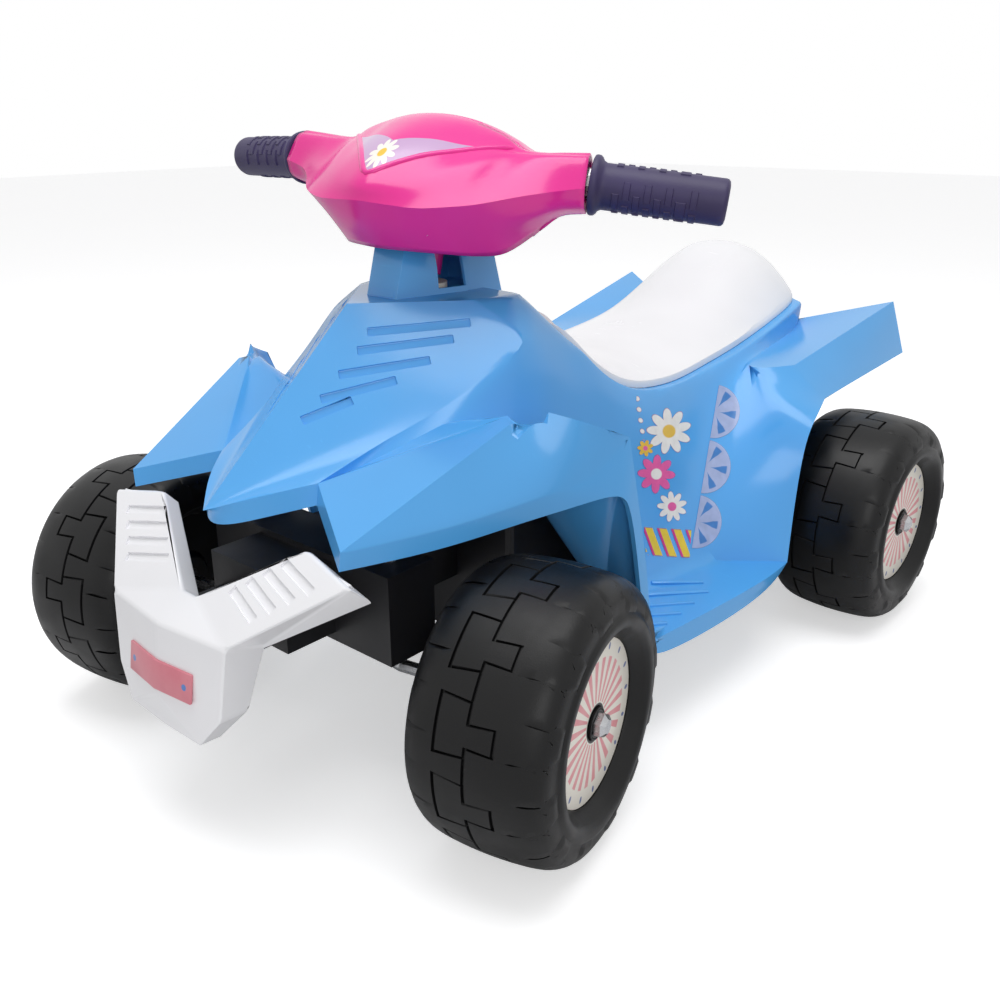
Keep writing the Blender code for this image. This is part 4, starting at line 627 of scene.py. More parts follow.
def disc_print():
    """Rose rays, blue dots and a black centre on ivory."""
    made = Finish("disc_print")
    x, y = made.print_map()
    radius = made.reach(x, y)
    turn = made.math("DIVIDE", made.math("ARCTAN2", y, x), 2 * math.pi)
    ray, dot = (made.off_middle(made.math("MULTIPLY_ADD", turn, float(count), 100.5))
                for count in (RAYS, DOTS))
    ring = made.times(made.spread(radius, 0.25, 0.26), made.below(radius, 0.775, 0.785))
    rays = made.times(made.below(made.math("ABSOLUTE", ray), 0.225, 0.245), ring)
    round_rim = made.times(dot, 2 * math.pi * DOT_RING / DOTS)
    from_ring = made.times(made.minus(radius, DOT_RING), 0.62)
    dots = made.below(made.reach(round_rim, from_ring), 0.024, 0.029)
    faded = made.spread(made.noise(180.0, 4.0), 0.3, 0.7, 0.86, 1.0)
    tone = made.mix(made.times(rays, faded), linear("F2EDE2"), linear("E5929A"))
    tone = made.mix(made.times(dots, faded), tone, linear("5B6FA6"))
    tone = made.mix(made.below(radius, 0.232, 0.242), tone, linear("0E0E10"))
    normal = made.bump(made.noise(900.0, 3.0), 0.12, 0.0002)
    return made.set(Base_Color=tone, Roughness=0.38, Normal=normal)


DISC_PRINT = disc_print()
for name, place in WHEELS.items():
    disc = spun(DISC_SECTION, 96)
    layer = disc.loops.layers.uv.new("print")
    for face in disc.faces:
        for loop in face.loops:
            loop[layer].uv = (loop.vert.co.x / DISC_RADIUS, loop.vert.co.y / DISC_RADIUS)
    moved(disc, place)
    finish_piece(f"printed_disc_{name}", disc, DISC_PRINT, f"hub_disc_{name}", smooth=30)
print(f"discs with {RAYS} rays and {DOTS} dots")

# %% [markdown]
# ## Softened folds
#
# The bumper is a faceted moulding whose folds are rounded by a few millimetres. Its solid has
# sharp folds, so a merged copy is softened. One bevel width can't serve it all: folds between
# the big facets take a wide round, while the edge of the 3 mm wall and the slats take a
# narrow one. Which edges are folds of the outer side is found by looking outwards and up from
# each face with a ray: faces on the inside of the shell see only the shell.

# %% Find a shell's outer faces
def looks_out():
    """Directions for the rays: straight up, and rings of twelve at three heights."""
    looks = [Vector((0, 0, 1))]
    for rise in (8, 35, 65):
        flat, up = math.cos(math.radians(rise)), math.sin(math.radians(rise))
        turns = [math.radians(step * 30 + rise) for step in range(12)]
        looks += [Vector((flat * math.cos(turn), flat * math.sin(turn), up)) for turn in turns]
    return looks


def outer_faces(bm):
    """Faces that can see out, sideways or upwards, past their own shell."""
    tree, looks = BVHTree.FromBMesh(bm), looks_out()
    seen = set()
    for face in bm.faces:
        start = face.calc_center_median() + face.normal * 0.0004
        if any(look.dot(face.normal) > 0.05 and tree.ray_cast(start, look)[0] is None
               for look in looks):
            seen.add(face.index)
    return seen


def main_folds(bm, degrees, shortest, least_area=0.00012):
    """Edges between two outer facets that fold and aren't part of small detail."""
    bm.faces.ensure_lookup_table()
    seen = outer_faces(bm)
    return [edge for edge in bm.edges
            if edge.calc_length() >= shortest and folded(edge, degrees)
            and all(face.index in seen and face.calc_area() > least_area
                    for face in edge.link_faces)]


def soften(bm, fold_width, rim_width, fold_degrees=7, shortest=0.009):
    """Rounds the main folds widely, and then what is still sharp narrowly."""
    bm.normal_update()
    folds = main_folds(bm, fold_degrees, shortest)
    round_off(bm, folds, fold_width, segments=4, clamp=False, slide=True)
    bm.normal_update()
    round_off(bm, sharp_edges(bm, 35), rim_width, segments=2, slide=True)
    return len(folds)


print("shell helpers ready")

# %% [markdown]
# ## Keep facets flat
#
# Smooth shading bends the light over the whole of a big facet when its corners take part in
# a rounded fold. A Weighted Normal modifier lets the large faces keep their own direction,
# so that the facets stay flat and only the folds shine.

# %% Flat facets
def keep_facets_flat(piece):
    modifier = piece.modifiers.new("Flat facets", "WEIGHTED_NORMAL")
    modifier.weight = 100
    modifier.keep_sharp = True
    return piece


print("facet shading ready")

# %% [markdown]
# ## Body shell
#
# The body is one big blown moulding. Its hood has a straight ridge, its fenders are cut like
# facets, and between them a smooth wall rolls from the hood down beside the saddle. A box
# bevelled all over would miss that mix. It is therefore built as a coarse cage for a
# subdivision surface: where two facets meet in a fold, the edge gets a crease, and where the
# real surface rolls, it gets none. Only the left half is drawn, and it is mirrored.

# %% Cage of the body
BODY_POINTS = {
    # hood, from its nose to the flat top behind the ridge
    "nose": (0.0, -0.2855, 0.187),
    "nose_low": (0.0, -0.2875, 0.175),
    "front": (0.025, -0.2645, 0.1956),
    "front_low": (0.027, -0.264, 0.1836),
    "root": (0.0445, -0.2405, 0.201),
    "root_low": (0.0455, -0.243, 0.189),
    "ridge_1": (0.0, -0.2487, 0.2197),
    "ridge_2": (0.0, -0.2118, 0.2523),
    "apex": (0.0, -0.175, 0.285),
    "side_1": (0.0545, -0.2012, 0.2172),
    "side_2": (0.0629, -0.1806, 0.2261),
    "side_3": (0.0711, -0.1611, 0.2348),
    "brow": (0.088, -0.111, 0.264),
    "crease": (0.0486, -0.12, 0.285),
    "top_rear": (0.0618, -0.083, 0.285),
    "top_mid": (0.0, -0.078, 0.285),
    # valley between the hood and the front fender
    "valley_1": (0.0485, -0.2207, 0.2032),
    "valley_2": (0.0624, -0.1956, 0.2144),
    "valley_3": (0.073, -0.1731, 0.2243),
    "valley_4": (0.084, -0.158, 0.231),
    # front fender with its lip, and the strip that runs down to the footrest
    "toe": (0.0969, -0.2709, 0.1851),
    "toe_low": (0.0955, -0.2715, 0.1741),
    "peak": (0.125, -0.155, 0.24),
    "heel": (0.147, -0.143, 0.235),
    "heel_top": (0.162, -0.127, 0.227),
    "heel_low": (0.163, -0.115, 0.2215),
    "edge_1": (0.119, -0.216, 0.187),
    "edge_2": (0.1378, -0.1704, 0.1942),
    "edge_3": (0.1441, -0.1549, 0.1971),
    "edge_4": (0.151, -0.1378, 0.1981),
    "arch_1": (0.1175, -0.2201, 0.175),
    "arch_2": (0.1366, -0.1732, 0.1822),
    "arch_3": (0.1488, -0.1434, 0.1851),
    "arch_5": (0.163, -0.1197, 0.1911),
    "leg_1": (0.163, -0.111, 0.1782),
    "leg_2": (0.163, -0.1016, 0.147),
    "leg_3": (0.163, -0.0875, 0.079),
    "leg_foot": (0.163, -0.0794, 0.062),
    "wall_1": (0.163, -0.103, 0.178),
    "wall_2": (0.163, -0.0935, 0.147),
    # footrest and the wall behind it
    "floor_1": (0.11, -0.075, 0.08),
    "floor_2": (0.163, -0.0795, 0.079),
    "floor_3": (0.113, 0.0, 0.079),
    "floor_4": (0.1186, 0.0489, 0.079),
    "floor_5": (0.1724, 0.0533, 0.075),
    "floor_low": (0.172, 0.058, 0.061),
    "floor_6": (0.164, 0.105, 0.07),
    "flare_1": (0.158, 0.1205, 0.115),
    "flare_2": (0.158, 0.128, 0.162),
    "flare_3": (0.158, 0.145, 0.176),
    "flare_4": (0.15, 0.1735, 0.181),
    "step": (0.088, 0.125, 0.2007),
    "crest": (0.1235, 0.171, 0.2035),
    # rear fender and tail
    "shelf_1": (0.078, 0.268, 0.209),
    "shelf_2": (0.07, 0.287, 0.216),
    "shelf_low": (0.07, 0.2885, 0.205),
    "tip": (0.136, 0.3285, 0.233),
    "tip_low": (0.1398, 0.3285, 0.2214),
    "tip_end": (0.15, 0.3285, 0.19),
    "tail_1": (0.068, 0.283, 0.15),
    "tail_2": (0.056, 0.294, 0.15),
    "tail_mid": (0.0, 0.296, 0.15),
}
# Along the saddle's rim: how far back it is, its height and its half width.
SADDLE_RIM = (
    (-0.0725, 0.2625, 0.056), (-0.0545, 0.257, 0.078), (-0.031, 0.2295, 0.083),
    (0.011, 0.207, 0.084), (0.055, 0.202, 0.0835), (0.085, 0.2018, 0.0825),
    (0.12, 0.2045, 0.08), (0.166, 0.2085, 0.078), (0.21, 0.2165, 0.0775),
    (0.254, 0.226, 0.077), (0.285, 0.232, 0.073), (0.3, 0.2345, 0.058),
)
BODY_FACETS = (
    "nose front root side_1", "nose side_1 side_2 ridge_1", "ridge_1 side_2 side_3 ridge_2",
    "ridge_2 side_3 crease apex", "side_3 brow crease", "crease brow top_rear",
    "apex crease top_rear top_mid", "nose nose_low front_low front",
    "front front_low root_low root", "root valley_1 side_1", "valley_1 valley_2 side_2 side_1",
    "valley_2 valley_3 side_3 side_2", "valley_3 valley_4 brow side_3", "root toe peak",
    "root peak valley_1", "valley_1 peak valley_2", "valley_2 peak valley_3",
    "valley_3 peak valley_4", "toe edge_1 peak", "edge_1 edge_2 peak", "edge_2 edge_3 heel peak",
    "edge_3 edge_4 heel", "edge_4 heel_low heel_top heel", "root root_low toe_low toe",
    "toe toe_low arch_1 edge_1", "edge_1 arch_1 arch_2 edge_2", "edge_2 arch_2 arch_3 edge_3",
    "edge_3 arch_3 arch_5 edge_4", "edge_4 arch_5 heel_low", "heel_low arch_5 leg_1 wall_1",
    "wall_1 leg_1 leg_2 wall_2", "wall_2 leg_2 leg_3 floor_2", "floor_2 leg_3 leg_foot",
    "valley_4 peak floor_1", "peak heel floor_1", "heel heel_top floor_1",
    "heel_top heel_low floor_1", "heel_low wall_1 floor_1", "wall_1 wall_2 floor_1",
    "wall_2 floor_2 floor_1", "valley_4 floor_1 brow", "top_rear brow rim_1",
    "brow floor_1 rim_2 rim_1", "floor_1 floor_3 rim_3 rim_2",
    "floor_3 floor_4 rim_5 rim_4 rim_3", "floor_4 step rim_6 rim_5", "floor_1 floor_2 floor_3",
    "floor_3 floor_2 floor_5 floor_4", "floor_4 floor_5 floor_6",
    "floor_2 leg_foot floor_low floor_5", "floor_5 floor_low floor_6",
    "step crest flare_4 flare_3", "step flare_3 flare_2", "step flare_2 flare_1 floor_4",
    "floor_4 flare_1 floor_6", "step shelf_1 crest", "crest shelf_1 shelf_2 tip",
    "crest tip tip_low tip_end flare_4", "shelf_2 shelf_low tip_low tip",
    "rim_6 step shelf_1 rim_9 rim_8 rim_7", "rim_9 shelf_1 shelf_2 rim_10",
    "rim_10 shelf_2 shelf_low tail_1 tail_2 rim_11", "rim_11 tail_2 tail_mid rim_mid",
    "top_mid top_rear rim_0 rim_front", "top_rear rim_1 rim_0",
    "rim_front rim_0 rim_1 ledge_1 ledge_front", "rim_10 rim_11 rim_mid ledge_mid ledge_10",
    "ledge_front ledge_1 fold_1 fold_front", "ledge_10 ledge_mid fold_mid fold_10",
)
# Chains of folded edges, each with its crease: 1 stays a fold, less becomes a soft roll.
BODY_FOLDS = (
    (1.0, "nose ridge_1 ridge_2 apex"),
    (1.0, "nose front root side_1 side_2 side_3 brow"),
    (1.0, "apex crease brow"),
    (0.4, "brow top_rear rim_0"),
    (1.0, "crease top_rear top_mid"),
    (1.0, "root valley_1 valley_2 valley_3 valley_4"),
    (1.0, "root root_low"),
    (1.0, "root peak heel heel_top heel_low"),
    (1.0, "root toe toe_low"),
    (1.0, "toe peak"),
    (1.0, "toe edge_1 edge_2 edge_3 edge_4 heel_low wall_1 wall_2 floor_2"),
    (0.45, "floor_1 floor_3 floor_4"),
    (1.0, "floor_1 floor_2 floor_5 floor_6 floor_4"),
    (1.0, "step crest tip"),
    (1.0, "crest flare_4"),
    (1.0, "step shelf_1 shelf_2 tip"),
    (1.0, "shelf_2 shelf_low"),
    (1.0, "tip tip_low tip_end"),
    (1.0, "shelf_low tail_1 tail_2"),
    (0.45, "rim_10 shelf_2"),
)


LEDGE_WIDTH, LEDGE_FOLD = 0.014, 0.01       # the shelf under the saddle and its turned down edge
LAST = len(SADDLE_RIM) - 1


def body_places():
    """All the cage's points: the named ones, and the rim, ledge and fold under the saddle."""
    places = {key: Vector(point) for key, point in BODY_POINTS.items()}
    for number, (y, z, x) in enumerate(SADDLE_RIM):
        places[f"rim_{number}"] = Vector((x, y, z))
        if 0 < number < LAST:
            places[f"ledge_{number}"] = Vector((x - LEDGE_WIDTH, y, z))
            places[f"fold_{number}"] = Vector((x - LEDGE_WIDTH, y, z - LEDGE_FOLD))
    for name, number, drop in (("rim_front", 0, 0), ("rim_mid", LAST, 0), ("ledge_front", 1, 0),
                               ("fold_front", 1, LEDGE_FOLD), ("ledge_mid", LAST - 1, 0),
                               ("fold_mid", LAST - 1, LEDGE_FOLD)):
        y, z, _ = SADDLE_RIM[number]
        places[name] = Vector((0, y, z - drop))
    return places


def rim_chains():
    """The saddle's rim and ledge are folds too, all the way round."""
    rim = " ".join(f"rim_{number}" for number in range(LAST + 1))
    ledge = " ".join(f"ledge_{number}" for number in range(1, LAST))
    return ((0.45, f"rim_front {rim} rim_mid"), (1.0, f"ledge_front {ledge} ledge_mid"))


def body_cage():
    """The left half's facets with their creases, mirrored to a whole cage."""
    bm = bmesh.new()
    corners = {key: bm.verts.new(place) for key, place in body_places().items()}
    ledges = [f"{outer}_{n} {outer}_{n + 1} {inner}_{n + 1} {inner}_{n}"
              for outer, inner in (("rim", "ledge"), ("ledge", "fold")) for n in range(1, LAST - 1)]
    for names in (*BODY_FACETS, *ledges):
        bm.faces.new([corners[key] for key in names.split()])
    crease = bm.edges.layers.float.new("crease_edge")
    for weight, names in (*BODY_FOLDS, *rim_chains()):
        chain = [corners[key] for key in names.split()]
        for pair in zip(chain, chain[1:]):
            bm.edges.get(pair)[crease] = weight
    bmesh.ops.mirror(bm, geom=[*bm.verts, *bm.edges, *bm.faces], axis="X", merge_dist=0.00002)
    face_outwards(bm)
    return bm


print(f"body cage: {len(BODY_FACETS)} facets, {len(BODY_FOLDS)} chains of folds")

# %% [markdown]
# The hood's louvres and the footrest's ribs lie on the finished surface, so they are placed
# by dropping a ray on it at both of their ends. The louvres are cut by a Boolean with bars
# that lean a little, which makes each floor slope like a real louvre's. The modifiers are
# then settled into a plain mesh, and the bars are removed. The sheet's folds are rounded
# before it gets its wall. Where many folds meet at narrow angles, the rounds would overlap
# each other, so they stop short there, and two of those corners are blunted instead. Along
# the narrow crests the wall is thinner, or else it would come out behind.

# %% Louvres, ribs and the finished body
LOUVRES = (
    ((0.0165, -0.1745), (0.056, -0.128)), ((0.0178, -0.1841), (0.0539, -0.1404)),
    ((0.0171, -0.1985), (0.0506, -0.1569)), ((0.0167, -0.2124), (0.0424, -0.1768)),
    ((0.0151, -0.2255), (0.03, -0.2001)),
)
RIBS = (
    ((0.118, -0.012), (0.142, 0.018)), ((0.117, -0.04), (0.152, 0.008)),
    ((0.126, -0.052), (0.154, -0.014)), ((0.136, -0.06), (0.156, -0.034)),
    ((0.147, -0.066), (0.157, -0.053)),
)
TIGHT_CORNERS = ("peak", "heel", "heel_top", "heel_low", "root", "valley_4")
TIGHT_REACH = 0.0045
BLUNT_CORNERS = (("step", 0.013), ("peak", 0.007))       # with the distance that is blunted
FOLD_DEGREES, FOLD_ROUND = 13, 0.0013
WALL = 0.003
NARROW_CRESTS = (("valley_4", "peak"), ("peak", "heel"), ("heel", "heel_top"),
                 ("heel_top", "heel_low"), ("step", "crest"))
CREST_REACH, CREST_WALL = 0.016, 0.15                    # there the wall has this share of it
DOWN = Vector((0, 0, -1))


def dropped(tree, x, y):
    """The point and the normal of a surface straight under a place."""
    return tree.ray_cast(Vector((x, y, 0.5)), DOWN)[:2]


def bars_on(tree, ends, size, lift, lean, bevel):
    """Bars that lie on a surface between pairs of points, on both sides of the toy."""
    bm = bmesh.new()
    for pair in ends:
        for side in (1, -1):
            (start, first), (end, second) = (dropped(tree, side * x, y) for x, y in pair)
            along = (end - start).normalized()
            across = (first + second).normalized().cross(along).normalized()
            up = along.cross(across)
            turn = Matrix((along, across, up)).transposed().to_4x4()
            place = (Matrix.Translation((start + end) / 2 + up * lift) @ turn
                     @ Matrix.Rotation(lean * side, 4, "X")
                     @ Matrix.Diagonal(((end - start).length, *size, 1)))
            bmesh.ops.create_cube(bm, size=1, matrix=place)
    bmesh.ops.recalc_face_normals(bm, faces=bm.faces)
    round_off(bm, bm.edges, bevel, segments=2)
    return bm


def settled(obj):
    """A bmesh of an object's finished form. The object is removed."""
    bpy.context.view_layer.update()
    mesh = bpy.data.meshes.new_from_object(obj.evaluated_get(bpy.context.evaluated_depsgraph_get()))
    bpy.data.objects.remove(obj, do_unlink=True)
    bm = bmesh.new()
    bm.from_mesh(mesh)
    bpy.data.meshes.remove(mesh)
    return bm


def subdivide(obj, levels):
    """A subdivision surface with the same levels in the viewport and in the render."""
    modifier = obj.modifiers.new("Smooth form", "SUBSURF")
    modifier.levels = modifier.render_levels = levels
    return modifier


def smooth_body():
    """The subdivided outer sheet with its folds rounded."""
    form = loose_object("body_form", body_cage())
    subdivide(form, 3).boundary_smooth = "PRESERVE_CORNERS"
    sheet = settled(form)
    places = body_places()
    for key, reach in BLUNT_CORNERS:
        for side in (1, -1):
            corner = Vector((side * places[key].x, *places[key].yz))
            near = [vert for vert in sheet.verts
                    if (vert.co - corner).length < reach and not vert.is_boundary]
            for _ in range(5):
                bmesh.ops.smooth_vert(sheet, verts=near, factor=0.5, use_axis_x=True,
                                      use_axis_y=True, use_axis_z=True)
    tight = [*((key, TIGHT_REACH) for key in TIGHT_CORNERS), *BLUNT_CORNERS]
    folds = []
    for edge in sheet.edges:
        middle = (edge.verts[0].co + edge.verts[1].co) / 2
        middle.x = abs(middle.x)
        if (folded(edge, FOLD_DEGREES)
                and all((middle - places[key]).length > reach for key, reach in tight)):
            folds.append(edge)
    round_off(sheet, folds, FOLD_ROUND)
    weld(sheet, 0.00004)
    bmesh.ops.dissolve_degenerate(sheet, dist=0.00002, edges=sheet.edges)
    print(f"{len(folds)} fold edges rounded")
    return sheet


def thin_at_crests(sheet):
    """Gives each vertex its share of the wall, in the vertex group 0."""
    places = body_places()
    crests = [(places[first], places[second]) for first, second in NARROW_CRESTS]
    share_of = sheet.verts.layers.deform.verify()
    for vert in sheet.verts:
        place = Vector((abs(vert.co.x), *vert.co.yz))
        vert[share_of][0] = 1.0
        for start, end in crests:
            share = min(1, max(0, intersect_point_line(place, start, end)[1]))
            if (place - start.lerp(end, share)).length < CREST_REACH:
                vert[share_of][0] = CREST_WALL


def wall(obj, thickness):
    """A wall inside a sheet, as a Solidify modifier."""
    modifier = obj.modifiers.new("Wall", "SOLIDIFY")
    modifier.thickness, modifier.offset = thickness, -1
    return modifier


sheet = smooth_body()
BODY_SURFACE = BVHTree.FromBMesh(sheet)
thin_at_crests(sheet)
body = loose_object("body_wall", sheet)
wall(body, WALL).vertex_group = body.vertex_groups.new(name="Full wall").name
slots = bars_on(BODY_SURFACE, LOUVRES, size=(0.0058, 0.008), lift=0.0022, lean=0.16, bevel=0.0008)
slots = loose_object("louvre_bars", slots)
cut = body.modifiers.new("Louvres", "BOOLEAN")
cut.object, cut.operation, cut.solver, cut.use_self = slots, "DIFFERENCE", "EXACT", True
body_piece = finish_piece("moulded_body", settled(body), BODY_PLASTIC, "body_shell", smooth=38)
keep_facets_flat(body_piece)
bpy.data.objects.remove(slots, do_unlink=True)
ribs = bars_on(BODY_SURFACE, RIBS, size=(0.003, 0.0034), lift=-0.0002, lean=0.0, bevel=0.0009)
finish_piece("footrest_ribs", ribs, BODY_PLASTIC, "body_shell", replace=False)
print(f"body: {faces_of(body_piece)} faces")

# %% [markdown]
# ## Neck
#
# The column comes out of the hood through a tapering neck with a notch on each side. The
# solid's neck has the right form, so the merged copy is cut off just above the hood, its
# lower rim is drawn down into the hood, and its corners are rounded.

# %% Neck
HOOD_TOP = 0.285
NECK_CUT = HOOD_TOP + 0.0004
NECK_FOOT = HOOD_TOP - 0.01

neck = copy_of("body_shell")
cut_away(neck, (0, 0, NECK_CUT), (0, 0, 1), clear_inner=True)
merge_flat_faces(neck, degrees=1.5)
round_off(neck, sharp_edges(neck, 25), width=0.0011)
for vert in neck.verts:
    if vert.co.z < NECK_CUT + 0.0001:
        vert.co.z = NECK_FOOT
neck_piece = finish_piece("hood_neck", neck, BODY_PLASTIC, "body_shell", replace=False, smooth=40)
print(f"neck: {faces_of(neck_piece)} faces")

# %% [markdown]
# ## Saddle
#
# The white saddle is a crowned skin with a short skirt. Its solid is made of flat strips,
# which a subdivision surface turns into one smooth form. The triangles are joined to quads
# first, because subdivided triangles give a lumpy surface, and creases hold the skirt.

# %% Saddle
def subdivided(name, bm, material, node, crease_degrees, levels=2, smooth=40):
    """A piece made smooth by a subdivision surface, with its sharp edges creased."""
    bmesh.ops.join_triangles(bm, faces=bm.faces, cmp_seam=False, cmp_sharp=False, cmp_uvs=False,
                             angle_face_threshold=math.radians(30),
                             angle_shape_threshold=math.radians(70))
    layers = bm.edges.layers.float
    crease = layers.get("crease_edge") or layers.new("crease_edge")
    for edge in sharp_edges(bm, crease_degrees):
        edge[crease] = 0.75
    piece = finish_piece(name, bm, material, node, smooth=smooth)
    subdivide(piece, levels)
    return piece


saddle = subdivided("moulded_saddle", copy_of("seat"), WHITE_PLASTIC, "seat", crease_degrees=55)
print(f"saddle cage: {faces_of(saddle)} faces")

# %% [markdown]
# ## Bumper and its plate
#
# The bumper is a thick white moulding with slats, and its copy is softened as told above. On
# its face sits a rose plate with a blue dot near each end, which are printed, so they belong
# to the shader. The plate has nothing else on it. It is lower than its solid.

# %% Bumper and plate
PLATE_MIDDLE, PLATE_HEIGHT = 0.103, 0.017
PLATE_DOTS = (0.0245, -0.0245)       # distances from the plate's middle


def plate_print():
    """Rose with two blue dots."""
    made = Finish("plate_print")
    split = made.add("ShaderNodeSeparateXYZ", Vector=made.place)
    up = made.minus(split.outputs["Z"], PLATE_MIDDLE)
    left, right = (made.below(made.reach(made.minus(split.outputs["X"], x), up), 0.0017, 0.002)
                   for x in PLATE_DOTS)
    patchy = made.spread(made.noise(70.0, 4.0), 0.3, 0.7)
    tone = made.mix(patchy, linear("D77C8A"), linear("DD8995"))
    tone = made.mix(made.math("MAXIMUM", left, right), tone, linear("5C86C8"))
    normal = made.bump(made.noise(700.0, 3.0), 0.15, 0.0002)
    return made.set(Base_Color=tone, Roughness=0.35, Normal=normal)


bumper = copy_of("front_bumper", flat_degrees=1.2)
folds = soften(bumper, fold_width=0.0022, rim_width=0.0005, shortest=0.007)
bumper_piece = finish_piece("moulded_bumper", bumper, WHITE_PLASTIC, "front_bumper", smooth=50)
keep_facets_flat(bumper_piece)
rose_plate = copy_of("bumper_plate", flat_degrees=1.0)
heights = [vert.co.z for vert in rose_plate.verts]
bmesh.ops.scale(rose_plate, vec=(1, 1, PLATE_HEIGHT / (max(heights) - min(heights))),
                verts=rose_plate.verts, space=Matrix.Translation((0, 0, -PLATE_MIDDLE)))
round_off(rose_plate, sharp_edges(rose_plate, 40), width=0.0005, segments=2)
finish_piece("rose_plate", rose_plate, plate_print(), "bumper_plate", smooth=40)
print(f"bumper: {folds} folds rounded, {faces_of(bumper_piece)} faces")

# %% [markdown]
# ## Steering frame
#
# The handlebar, its cover and the grips stand turned to the rider's left, as in the picture.
# They are modelled straight ahead, where left and right match, and then turned about the
# steering axis by the same angle as the solids.

# %% Turn about the steering axis
STEERED_DEGREES = 11.75
STEERING = JOINTS["steering_turn"]
STEER_POINT = Vector(STEERING["pos_m"])
STEER_TURN = (Matrix.Translation(STEER_POINT)
              @ Matrix.Rotation(math.radians(STEERED_DEGREES), 4, Vector(STEERING["axis"]))
              @ Matrix.Translation(-STEER_POINT))
print(f"handlebar turned about {tuple(round(value, 3) for value in STEER_POINT)}")

# %% [markdown]
# ## Handlebar cover
#
# The magenta cover is two glossy shells that meet over the bar. Its form is a dome that
# falls to a visor with a hard crease, and below the crease a skirt runs down and in. Such a
# form is best lofted: sections across the toy are drawn at eight stations, smooth curves
# run through them, and bridging the dense sections gives the skin. The crease stays hard
# because the curves stop there and start again.

# %% Sections of the cover
# For each distance from the middle: bottom, skirt, crease, ridge, dome, top, rear dome, rear
# edge, rear skirt, bottom. Every point is (how far back, height).
COVER_STATIONS = (
    (0.0, ((-0.156, 0.316), (-0.168, 0.33), (-0.178, 0.345),
      (-0.173, 0.357), (-0.14, 0.378), (-0.0985, 0.3898), (-0.064, 0.38),
      (-0.042, 0.356), (-0.042, 0.34), (-0.05, 0.324))),
    (0.018, ((-0.152, 0.3158), (-0.165, 0.33), (-0.175, 0.344),
      (-0.166, 0.3572), (-0.134, 0.377), (-0.098, 0.3883), (-0.064, 0.3785),
      (-0.043, 0.356), (-0.043, 0.34), (-0.051, 0.3235))),
    (0.0336, ((-0.143, 0.315), (-0.157, 0.329), (-0.1705, 0.3433),
      (-0.1535, 0.3597), (-0.123, 0.375), (-0.0952, 0.3846), (-0.066, 0.3755),
      (-0.047, 0.356), (-0.047, 0.34), (-0.055, 0.323))),
    (0.048, ((-0.124, 0.313), (-0.143, 0.329), (-0.162, 0.3445),
      (-0.134, 0.3648), (-0.112, 0.374), (-0.0952, 0.3795), (-0.07, 0.372),
      (-0.056, 0.356), (-0.055, 0.34), (-0.063, 0.323))),
    (0.06, ((-0.112, 0.315), (-0.131, 0.331), (-0.15, 0.346),
      (-0.111, 0.369), (-0.103, 0.3715), (-0.0962, 0.373), (-0.075, 0.369),
      (-0.064, 0.356), (-0.064, 0.34), (-0.08, 0.321))),
    (0.0726, ((-0.096, 0.327), (-0.12, 0.337), (-0.13, 0.35),
      (-0.108, 0.3695), (-0.102, 0.371), (-0.0952, 0.372), (-0.079, 0.369),
      (-0.071, 0.357), (-0.072, 0.343), (-0.096, 0.327))),
    (0.086, ((-0.096, 0.337), (-0.111, 0.343), (-0.117, 0.353),
      (-0.106, 0.3698), (-0.1, 0.372), (-0.0947, 0.3728), (-0.082, 0.369),
      (-0.0765, 0.357), (-0.079, 0.345), (-0.096, 0.337))),
    (0.1018, ((-0.096, 0.34), (-0.108, 0.346), (-0.1115, 0.356),
      (-0.104, 0.3698), (-0.099, 0.3728), (-0.0945, 0.3736), (-0.083, 0.369),
      (-0.0775, 0.3565), (-0.083, 0.345), (-0.096, 0.34))),
)

SKIRT, TOP = slice(0, 3), slice(2, None)     # both hold the crease
# The cover ends along the grips' flanges, which lean back: change of x for a change of y. The
# lean grows from nothing at the first distance over the second one.
FLANGE_SLOPE, LEAN_FROM, LEAN_OVER = 0.3235, 0.06, 0.0418
BAR_Y = -0.0946


def smooth_curve(points, steps):
    """Points on a curve that passes smoothly through all the given ones."""
    ends = [2 * points[0] - points[1], *points, 2 * points[-1] - points[-2]]
    curve = []
    for before, start, end, after in zip(ends, ends[1:], ends[2:], ends[3:]):
        for step in range(steps):
            t = step / steps
            curve.append(0.5 * (2 * start + (end - before) * t
                                + (2 * before - 5 * start + 4 * end - after) * t * t
                                + (3 * start - before - 3 * end + after) * t ** 3))
    return [*curve, points[-1]]


def cover_point(distance, y, z):
    """A station's point, leaned towards the grip's flange."""
    lean = FLANGE_SLOPE * max(0, distance - LEAN_FROM) / LEAN_OVER
    return Vector((distance - lean * (y - BAR_Y), y, z))


def cover_rows(part, steps=5):
    """Dense sections of the skirt or the top, from the left end to the right."""
    rails = []
    for rail in zip(*(points[part] for _, points in COVER_STATIONS)):
        half = [cover_point(distance, *point) for (distance, _), point in zip(COVER_STATIONS, rail)]
        whole = [Vector((-point.x, *point.yz)) for point in reversed(half[1:])] + half
        rails.append(smooth_curve(whole, steps))
    return [smooth_curve(list(section), steps) for section in zip(*rails)]


def bridged(bm, rows):
    """Adds a skin through rows of points: each row's edge chain is joined to the next."""
    chains = []
    for row in rows:
        points = [bm.verts.new(point) for point in row]
        chains.append([bm.edges.new(pair) for pair in zip(points, points[1:])])
    for first, second in zip(chains, chains[1:]):
        bmesh.ops.bridge_loops(bm, edges=first + second)


print(f"cover: {len(COVER_STATIONS)} stations on each side")

# %% [markdown]
# The dome carries a lilac field in the form of a V and a plain daisy near the visor's tip.
# They are printed: the skin's UV map keeps every point's place seen from above, before the
# turn, and the nodes below compare that place with the field's two edges.

